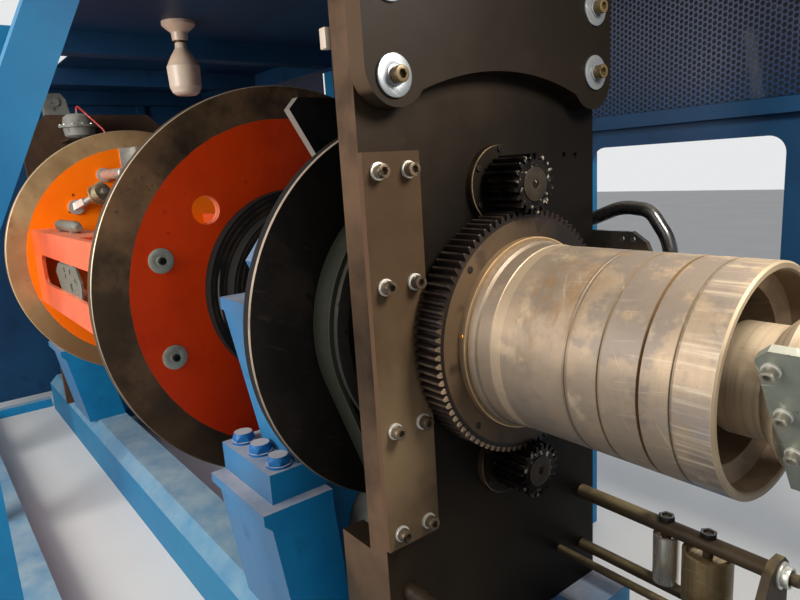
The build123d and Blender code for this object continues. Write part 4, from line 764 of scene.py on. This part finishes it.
def open_ring(name, radius, thickness, rim, sides=32, bevel=0.18, angle=50):
    """A ring as wide as its rim, with a hole and rounded edges."""
    ring = start_round(name, radius, thickness, sides)
    edit_faces(ring, lambda face: abs(face.normal.x) > 0.9)
    bpy.ops.mesh.inset(thickness=rim * MM)
    bpy.ops.mesh.bridge_edge_loops()
    leave_edit()
    finish_edges(ring, thickness * bevel, angle)
    return ring


def hex_nut(name, across, height, hole):
    """A hexagon nut with chamfered corners and its hole."""
    return open_ring(name, across / math.sqrt(3), height, (across / 2 - hole) * 0.8, 6, 0.1, 40)


def place_copies(master, name, places, body, slot, finish, outward=TO_OUTLET, turn=0.0):
    """Copies a fastener to each place, facing outward, and joins the copies into one piece."""
    outward = Vector(outward).normalized()
    swing = Vector(TO_OUTLET).rotation_difference(outward).to_matrix().to_4x4()
    copies = []
    for number, place in enumerate(places):
        only(master)
        bpy.ops.object.duplicate()
        copy = bpy.context.object
        spin = Matrix.Rotation(turn + SCREW_TURN * number, 4, "X")
        copy.matrix_world = Matrix.Translation(Vector(place) * MM) @ swing @ spin
        settle()
        copies.append(copy)
    bpy.data.objects.remove(master)
    select_none()
    for copy in copies:
        copy.select_set(True)
    piece = bpy.context.view_layer.objects.active = copies[0]
    if len(copies) > 1:
        bpy.ops.object.join()
    piece.name = piece.data.name = name
    centre_origin()
    piece.data.materials.clear()
    piece.data.materials.append(FASTENER_MATERIALS[finish])
    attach(piece, body)


def circle_places(x, z, radius, count, first):
    """Places at equal steps round a circle that faces the outlet. The first is given in degrees."""
    turns = (math.radians(first + 360 / count * step) for step in range(count))
    return [(x, radius * math.cos(turn), z + radius * math.sin(turn)) for turn in turns]


def screws_on_washers(name, places, body, washer, screw, outward=TO_OUTLET):
    """Washers on the face with cap screws on them. Each has its sizes, a slot that is not used, and its
    finish: a washer's sizes are its radius, thickness and dish, and a screw's are its head's radius and
    length."""
    (washer_radius, washer_thickness, dish), *washer_looks = washer
    (screw_radius, screw_length), *screw_looks = screw
    ring = flat_washer("washer_blank", washer_radius, washer_thickness, dish)
    place_copies(ring, name + "_washers", places, body, *washer_looks, outward)
    top = washer_thickness - dish
    collar = open_ring("collar_blank", screw_radius * 1.25, SPRING_WASHER, screw_radius * 0.55)
    only(collar)
    bpy.ops.transform.translate(value=((top - SUNK) * MM, 0, 0))
    settle()
    place_copies(collar, name + "_spring_washers", places, body, *washer_looks, outward)
    head = cap_screw("screw_blank", screw_radius, screw_length, top + SPRING_WASHER - 2 * SUNK)
    place_copies(head, name + "_screws", places, body, *screw_looks, outward)


def make_fasteners():
    plate_places = [(UPPER_PLATE_FACE_X, -262, z) for z in (1466, 1608, 1750)]
    plate_places += [(UPPER_PLATE_FACE_X, 262, z) for z in (1490, 1614, 1738)]
    screws_on_washers("upper_plate", plate_places, "machine_frame",
                      ((34, 5, 0.4), "zinc_plate", "grey_washer"), ((13.5, 17), "dark_steel", "olive_screw"))
    bar_places = [(SIDE_BAR_FACE_X, y, z) for y in (-286, -222) for z in (1320, 1127, 867, 667)]
    screws_on_washers("side_bar", bar_places, "machine_frame", ((15, 3, 0.4), "zinc_plate", "white_zinc"),
                      ((12, 16), "dark_steel", "brown_screw"))
    disc_places = [(FRONT_DISC_FACE_X, y, z) for y, z in ((-390, 1124), (-388, 861), (390, 876), (388, 1139))]
    screws_on_washers("front_disc", disc_places, "rotor", ((33.5, 4, 0.4), "zinc_plate", "pale_washer"),
                      ((10, 12), "black_steel", "black_screw"))
    tilt = math.radians(32)
    outward = Vector((0, -math.cos(tilt), -math.sin(tilt)))
    along_plate = Vector((0, -math.sin(tilt), math.cos(tilt)))
    arm_middle = Vector((ARM_SCREW_X, 0, AXIS_HEIGHT)) + outward * 100
    arm_places = [arm_middle + along_plate * drop for drop in (149, 70, -5)]
    screws_on_washers("guide_arm", arm_places, "machine_frame", ((11, 2, 0.2), "zinc_plate", "white_zinc"),
                      ((9, 11), "zinc_plate", "silver_screw"), outward)


def make_small_pieces():
    """Nuts, plugs and end rings on the gears, rods and brake chamber."""
    for body, side in (("upper_pinion_group", 1), ("lower_pinion_group", -1)):
        z = AXIS_HEIGHT + side * GEAR_CENTRE
        place_copies(open_ring("ring_blank", 31, 2.4, 23, 36, 0.3), body.replace("group", "end_ring"),
                     [(PINION_END_X, 0, z)], body, "black_steel", "end_ring")
        place_copies(cap_screw("screw_blank", 4.8, 4), body.replace("group", "boss_screws"),
                     circle_places(BOSS_FACE_X, z, BOSS_SCREW_CIRCLE, 6, 30),
                     "machine_frame", "dark_steel", "black_screw")
    place_copies(cap_screw("screw_blank", 6.5, 1.6), "ring_gear_screws",
                 circle_places(RING_GEAR_FACE_X, AXIS_HEIGHT, RING_GEAR_SCREW_CIRCLE, 4, 136),
                 "sleeve_group", "black_steel", "black_screw")
    # Two black rings on the rear disc's face stand for the shade inside two small holes: painted shade.
    disc_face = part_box("rear_disc")[1].x / MM
    place_copies(open_ring("hole_blank", 6, 1, 3, 20), "rear_disc_hole_shade_rings",
                 [(disc_face, -269, 1295), (disc_face, -293, 1221)], "rotor", "black_steel", "black_screw")
    plug_places = circle_places(COLLAR_PLUG_X, AXIS_HEIGHT, COLLAR_RADIUS, 1, 170.5)
    place_copies(cap_screw("plug_blank", 4, 2.5), "collar_brass_plug", plug_places, "sleeve_group",
                 "zinc_plate", "brass", Vector(plug_places[0]) - Vector((COLLAR_PLUG_X, 0, AXIS_HEIGHT)))
    for name, radius, start, length in (("rod_end_washers", 26, 0, 5), ("rod_end_nuts", 21, 4.6, 14)):
        place_copies(open_ring("ring_blank", radius, length, radius - 16, 36, 0.16), name,
                     [(ROD_END_X + start, y, ROD_Z) for y in (-ROD_Y, ROD_Y)], "machine_frame",
                     "zinc_plate", "white_zinc")
    axle_places = [(x, y, AXLE_END_Z) for x in ROLLER_XS for y in (-ROD_Y, ROD_Y)]
    place_copies(hex_nut("nut_blank", 30, 11, 8), "roller_axle_nuts", axle_places, "machine_frame",
                 "dark_steel", "black_screw", UPWARD, 0.3)
    rim_x, rim_y, rim_z = CHAMBER_RIM
    rim_places = [(rim_x + across, rim_y + along, rim_z)
                  for _, across, along in circle_places(0, 0, CHAMBER_BOLT_CIRCLE, 12, 0)]
    place_copies(hex_nut("nut_blank", 11, 5, 2.5), "brake_chamber_rim_bolts", rim_places, "machine_frame",
                 "grey_cast", "white_zinc", UPWARD)


def make_plate_switch(material):
    """A small rounded switch body with a sunk top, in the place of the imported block."""
    low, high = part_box("plate_switch")
    middle = (low + high) / 2
    select_none()
    bpy.ops.mesh.primitive_cube_add(size=1, location=(middle.x, (middle.y + high.y) / 2, middle.z),
                                    scale=(0.018, high.y - middle.y, high.z - low.z))
    switch = bpy.context.object
    switch.name = switch.data.name = "plate_switch_body"
    settle()
    edit_faces(switch, lambda face: face.normal.z > 0.9)
    bpy.ops.mesh.inset(thickness=0.002)
    bpy.ops.transform.translate(value=(0, 0, -0.003))
    leave_edit()
    finish_edges(switch, 1.6)
    switch.data.materials.append(material)
    centre_origin()
    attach(switch, "machine_frame")
    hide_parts("plate_switch")


# Pierced panels

def panel_spans():
    """Where each packed panel starts and ends along X."""
    places = sorted({round(vertex.co.x, 4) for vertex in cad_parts["pierced_panels"].data.vertices})
    return list(zip(places[0::2], places[1::2]))


def trim(piece, place, outward):
    """Cuts the piece off at a plane and takes away what is outside."""
    only(piece)
    bpy.ops.object.mode_set(mode="EDIT")
    bpy.ops.mesh.select_all(action="SELECT")
    bpy.ops.mesh.bisect(plane_co=place, plane_no=outward, clear_outer=True)
    leave_edit()


def pierced_skin(number, start, end, material):
    """One bay's sheet: a cell with its hole, repeated in staggered columns and trimmed at the margin."""
    pitch = PANEL_PITCH * MM
    column = pitch * math.sqrt(3) / 2
    first = math.floor(start / (2 * column)) * 2 * column
    height = (PANEL_TOP_Z - PANEL_BOTTOM_Z) * MM
    select_none()
    bpy.ops.mesh.primitive_circle_add(vertices=6, radius=pitch / math.sqrt(3), fill_type="NGON",
                                      location=(0, 0, 0))
    skin = bpy.context.object
    skin.name = skin.data.name = "pierced_skin_%d" % number
    edit_faces(skin, lambda face: True)
    bpy.ops.mesh.inset(thickness=pitch / 2 - PANEL_HOLE_R * 1.04 * MM)
    bpy.ops.mesh.delete(type="FACE")
    bpy.ops.mesh.select_all(action="SELECT")
    bpy.ops.mesh.duplicate()
    bpy.ops.transform.translate(value=(column, pitch / 2, 0))
    leave_edit()
    repeats = (((2 * column, 0, 0), math.ceil((end - first) / (2 * column)) + 1),
               ((0, pitch, 0), math.ceil(height / pitch) + 2))
    for offset, count in repeats:
        shape_by(skin, "repeat", "ARRAY", use_relative_offset=False, use_constant_offset=True,
                 constant_offset_displace=offset, count=count)
    edit_faces(skin, lambda face: True)
    bpy.ops.mesh.remove_doubles(threshold=0.0001)
    leave_edit()
    upright = Matrix.Rotation(math.pi / 2, 4, "X")
    skin.matrix_world = Matrix.Translation((first, (PANEL_FACE_Y - PANEL_SKIN) * MM,
                                            PANEL_BOTTOM_Z * MM - pitch)) @ upright
    only(skin)
    settle()
    margin = PANEL_MARGIN * MM
    trim(skin, (start + margin, 0, 0), (-1, 0, 0))
    trim(skin, (end - margin, 0, 0), (1, 0, 0))
    trim(skin, (0, 0, PANEL_BOTTOM_Z * MM), (0, 0, -1))
    trim(skin, (0, 0, PANEL_TOP_Z * MM), (0, 0, 1))
    shape_by(skin, "sheet", "SOLIDIFY", thickness=(PANEL_SKIN - 0.1) * MM, offset=-1)
    skin.data.materials.append(material)
    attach(skin, "machine_frame")


# Camera, lamps and studio

def set_camera():
    azimuth, elevation, roll = (math.radians(angle) for angle in CAMERA_ANGLES)
    forward = Vector((-math.cos(elevation) * math.cos(azimuth), math.cos(elevation) * math.sin(azimuth),
                      math.sin(elevation)))
    level = forward.cross(Vector((0, 0, 1))).normalized()
    lowered = forward.cross(level)
    right = math.cos(roll) * level + math.sin(roll) * lowered
    down = -math.sin(roll) * level + math.cos(roll) * lowered
    camera = bpy.data.objects.new("photo_camera", bpy.data.cameras.new("photo_camera"))
    bpy.context.scene.collection.objects.link(camera)
    camera.data.lens = CAMERA_LENS
    camera.data.sensor_width = 36
    camera.data.clip_start = 0.02
    turn = Matrix((right, -down, -forward)).transposed().to_4x4()
    camera.matrix_world = Matrix.Translation(Vector(CAMERA_PLACE)) @ turn
    bpy.context.scene.camera = camera


def add_lamp(name, place, target, size, power, tint):
    lamp = bpy.data.objects.new(name, bpy.data.lights.new(name, "AREA"))
    bpy.context.scene.collection.objects.link(lamp)
    lamp.data.shape = "SQUARE"
    lamp.data.size = size
    lamp.data.energy = power
    lamp.data.color = tint
    lamp.location = place
    lamp.rotation_euler = (Vector(target) - Vector(place)).to_track_quat("-Z", "Y").to_euler()


def set_studio():
    scene = bpy.context.scene
    scene.view_settings.view_transform = "Standard"
    world = bpy.data.worlds.new("studio_air")
    scene.world = world
    world.use_nodes = True
    tree = world.node_tree
    light = tree.nodes["Background"]
    light.inputs["Color"].default_value = AIR_LIGHT
    light.inputs["Strength"].default_value = AIR_STRENGTH
    seen = add(tree, "Background", {"Color": BACKDROP_WHITE, "Strength": 1.0})
    ray = add(tree, "LightPath").outputs
    shown = calc(tree, "MAXIMUM", calc(tree, "MAXIMUM", ray["Is Camera Ray"], ray["Is Glossy Ray"]),
                 ray["Is Transmission Ray"])
    both = add(tree, "MixShader", {0: shown, 1: light.outputs[0], 2: seen.outputs[0]})
    tree.links.new(both.outputs[0], tree.nodes["World Output"].inputs["Surface"])
    select_none()
    bpy.ops.mesh.primitive_plane_add(size=40, location=(0, 0, -0.0005))
    floor = bpy.context.object
    floor.name = "studio_floor"
    floor_finish = Finish("studio_floor", FLOOR_TONE, roughness=0.8)
    floor_finish.stain((1.2, 0.3, 0.7), FLOOR_PALE_TONE)
    floor.data.materials.append(floor_finish.done())
    for lamp in LAMPS:
        add_lamp(*lamp)


def give(finish, *nodes):
    """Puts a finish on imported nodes."""
    material = finish.done()
    for name in nodes:
        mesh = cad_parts[name].data
        mesh.materials.clear()
        mesh.materials.append(material)


def dress_nodes():
    blues = ((1, 96, 146), (8, 114, 162), (1, 74, 116))
    give(blue_paint_finish("machine_blue_paint", *blues, dust_amount=0.95, painted_reflection=0.7, reflection_tone=(84, 96, 118)),
         "front_housing", "rear_housing", "front_pedestal", "rear_pedestal", "plate_stand")
    give(blue_paint_finish("base_blue_paint", *blues, dust_amount=0.85, painted_reflection=0.6,
                           reflection_tone=(40, 104, 130), dust_tone=(150, 170, 176)),
         "base_beams", "base_cross_members", "guide_stand", "guard_posts", "guard_rafters", "guard_sills")
    give(blue_paint_finish("bolt_blue_paint", (4, 84, 144), (12, 96, 154), (4, 60, 106), dust_amount=1.8,
                           chips=1.0),
         "front_housing_bolts", "rear_housing_bolts")
    # The guard's blues are darkened as painted shade: the roof beams and wall rail all over, and the far
    # wall, rear wall and roof sheet on all but their outward faces, which take the plain paint.
    inside = ((20, 46, 74), (24, 58, 90), (15, 32, 54))
    outside = (4, 90, 140)
    give(blue_paint_finish("guard_blue_sheet", *inside, dust_amount=0.25, chips=0.2, gloss=0.12),
         "roof_beams", "wall_rail")
    for node, axis, low, high in (("far_wall", "Y", 0.7, FAR), ("rear_wall", "X", -FAR, -0.7),
                                  ("roof_sheet", "Z", 0.7, FAR)):
        give(blue_paint_finish(node + "_blue_sheet", *inside, dust_amount=0.4, chips=0.2, gloss=0.12,
                               outer=(axis, low, high, outside)), node)
    give(pierced_finish(), "pierced_panels")
    # The two discs are one orange paint and one bare steel: the front disc's darker red and dark rim are
    # painted shade, the rear disc's bright orange and pale rim are painted light.
    give(disc_finish("front_disc_shaded_paint", "front_disc", (206, 56, 2), (160, 28, 1), (138, 104, 74),
                     (72, 58, 44), (50, 36, 27), 0.483, (255, 136, 96)), "front_disc")
    give(disc_finish("rear_disc_lit_paint", "rear_disc", (255, 120, 4), (255, 104, 2), (190, 160, 116),
                     (156, 128, 90), (136, 100, 64), 0.496, (250, 120, 60)), "rear_disc")
    give(box_frame_finish(), "near_box_frame", "far_box_frame")
    plate = dark_plate_finish("gear_plate_black_steel", (24, 18, 12), (38, 28, 19), 0.48)
    side = plate.band(plate.facing_part("Y"), -FAR, -0.8, 0.1)
    plate.stain((5, 0.2, 0.6), (94, 72, 54), side, roughness=0.5)
    low_left = plate.within(up=(-FAR, -0.42, 0.3), across=(-FAR, 0.02, 0.3))
    plate.stain((3.5, 0.2, 0.6), (54, 44, 32), low_left, roughness=0.5)
    right = plate.within(across=(0.0, FAR, 0.34))
    plate.layer((right, 0.9), (7, 6, 5), roughness=0.5)
    oil = plate.within(radius=(0.0, 0.34, 0.16))
    plate.layer((oil, 0.8), (13, 11, 9), roughness=0.45)
    for side_up in (1, -1):
        boss = plate.around(0.0, AXIS_Z + side_up * GEAR_CENTRE * MM)
        # Painted highlight: a thin pale arc on the near half of each pinion boss's edge.
        boss_edge_highlight = plate.within(boss, radius=(0.0735, 0.0762, 0.0004), along=(1.3025, 1.32, 0.0006),
                                 across=(-FAR, -0.01, 0.04))
        plate.stain((12, 0.35, 0.6), (136, 114, 88), boss_edge_highlight, amount=0.6, roughness=0.4)
    give(plate, "gear_plate")
    upper = dark_plate_finish("upper_plate_black_steel", (20, 15, 10), (32, 24, 16), 0.48)
    side = upper.band(upper.facing_part("Y"), -FAR, -0.8, 0.1)
    upper.layer((side, 0.8), (84, 66, 50))
    right = upper.band(upper.place_part("Y"), 0.0, FAR, 0.34)
    upper.layer((right, 0.75), (17, 14, 11), roughness=0.45)
    give(upper, "upper_plate")
    bar = dark_plate_finish("side_bar_brown_steel", (52, 39, 27), (62, 47, 33), 0.46)
    lower = bar.band(bar.place_part("Z"), -FAR, 1.02, 0.4)
    bar.stain((4, 0.2, 0.6), (108, 90, 68), lower, amount=0.8, roughness=0.42)
    edge = bar.band(bar.facing_part("X"), -0.9, 0.9, 0.1)
    bar.layer(edge, (84, 62, 46), roughness=0.5)
    give(bar, "plate_side_bar")
    rods = dark_plate_finish("rod_oily_steel", (40, 33, 26), (62, 51, 38), 0.42)
    rods.stain((5, 0.42, 0.56), (132, 118, 88), rods.dust(1.0, 18), roughness=0.8)
    give(rods, "upper_rods", "lower_rods", "rod_end_plates")
    give(dark_plate_finish("rear_plate_brown_steel", (56, 42, 34), (82, 62, 48), 0.5),
         "rear_plate", "brake_bracket")
    give(dark_plate_finish("rotor_tube_steel", (70, 64, 58), (96, 84, 70), 0.4), "rotor_tube")
    give(ring_gear_finish(), "ring_gear")
    give(pinion_finish(), "upper_pinion", "lower_pinion")
    give(sleeve_finish(), "sleeve")
    give(hub_finish("hub_black_steel"), "front_hub", "rear_hub")
    give(black_disc_finish(), "black_disc")
    give(black_finish("bearing_black_iron"), "pinion_bearings", "sleeve_bearing", "side_unit")
    give(black_finish("pulley_dark_steel", (58, 56, 52), (84, 78, 68)), "belt_pulley", "drive_pulley")
    arm = black_finish("top_arm_black", (30, 30, 31), (44, 42, 40), 0.34)
    arm_edge = arm.band(arm.facing_part("X"), -0.8, 0.8, 0.1)
    arm.layer((arm_edge, 0.8), (168, 160, 150), roughness=0.45)
    give(arm, "top_arm")
    give(turned_finish("guide_tube_brown_steel", (150, 134, 112), (112, 96, 76), 0.5, 0.35), "guide_tube")
    give(turned_finish("small_roller_polished", (196, 186, 170), (140, 126, 106), 0.22), "small_rollers")
    give(turned_finish("large_roller_tan", (132, 112, 80), (98, 82, 58), 0.4), "large_rollers")
    give(turned_finish("tape_roller_silver_brass", (206, 192, 158), (150, 138, 112), 0.28), "tape_rollers")
    give(zinc_finish("arm_plate_galvanised", (136, 140, 128), (116, 124, 112)), "guide_arms")
    give(zinc_finish("tape_guide_zinc", (212, 210, 202), (176, 176, 166), 0.34), "tape_guides")
    give(zinc_finish("frame_fitting_grey_steel", (136, 134, 118), (112, 112, 98)), "frame_fittings")
    give(cast_finish(), "drive_motor", "brake_chamber")
    give(belt_finish(), "drive_belt")
    give(rubber_finish("side_hose_black", (18, 18, 19), (34, 33, 32), 0.22), "side_hose")
    give(rubber_finish("brake_hose_red", (168, 28, 24), (132, 26, 22), 0.3), "brake_hose")
    give(lamp_finish("lamp_white_shell", (194, 168, 146)), "lamp_holder", "lamp_bulb")
    give(lamp_finish("switch_white_case", (214, 208, 198)), "plate_switch")


set_camera()
set_studio()
dress_nodes()
make_fasteners()
make_small_pieces()
make_plate_switch(lamp_finish("switch_pale_case", (206, 198, 184)).done())
skin_paint = pierced_skin_finish().done()
for number, (start, end) in enumerate(panel_spans(), 1):
    pierced_skin(number, start, end, skin_paint)
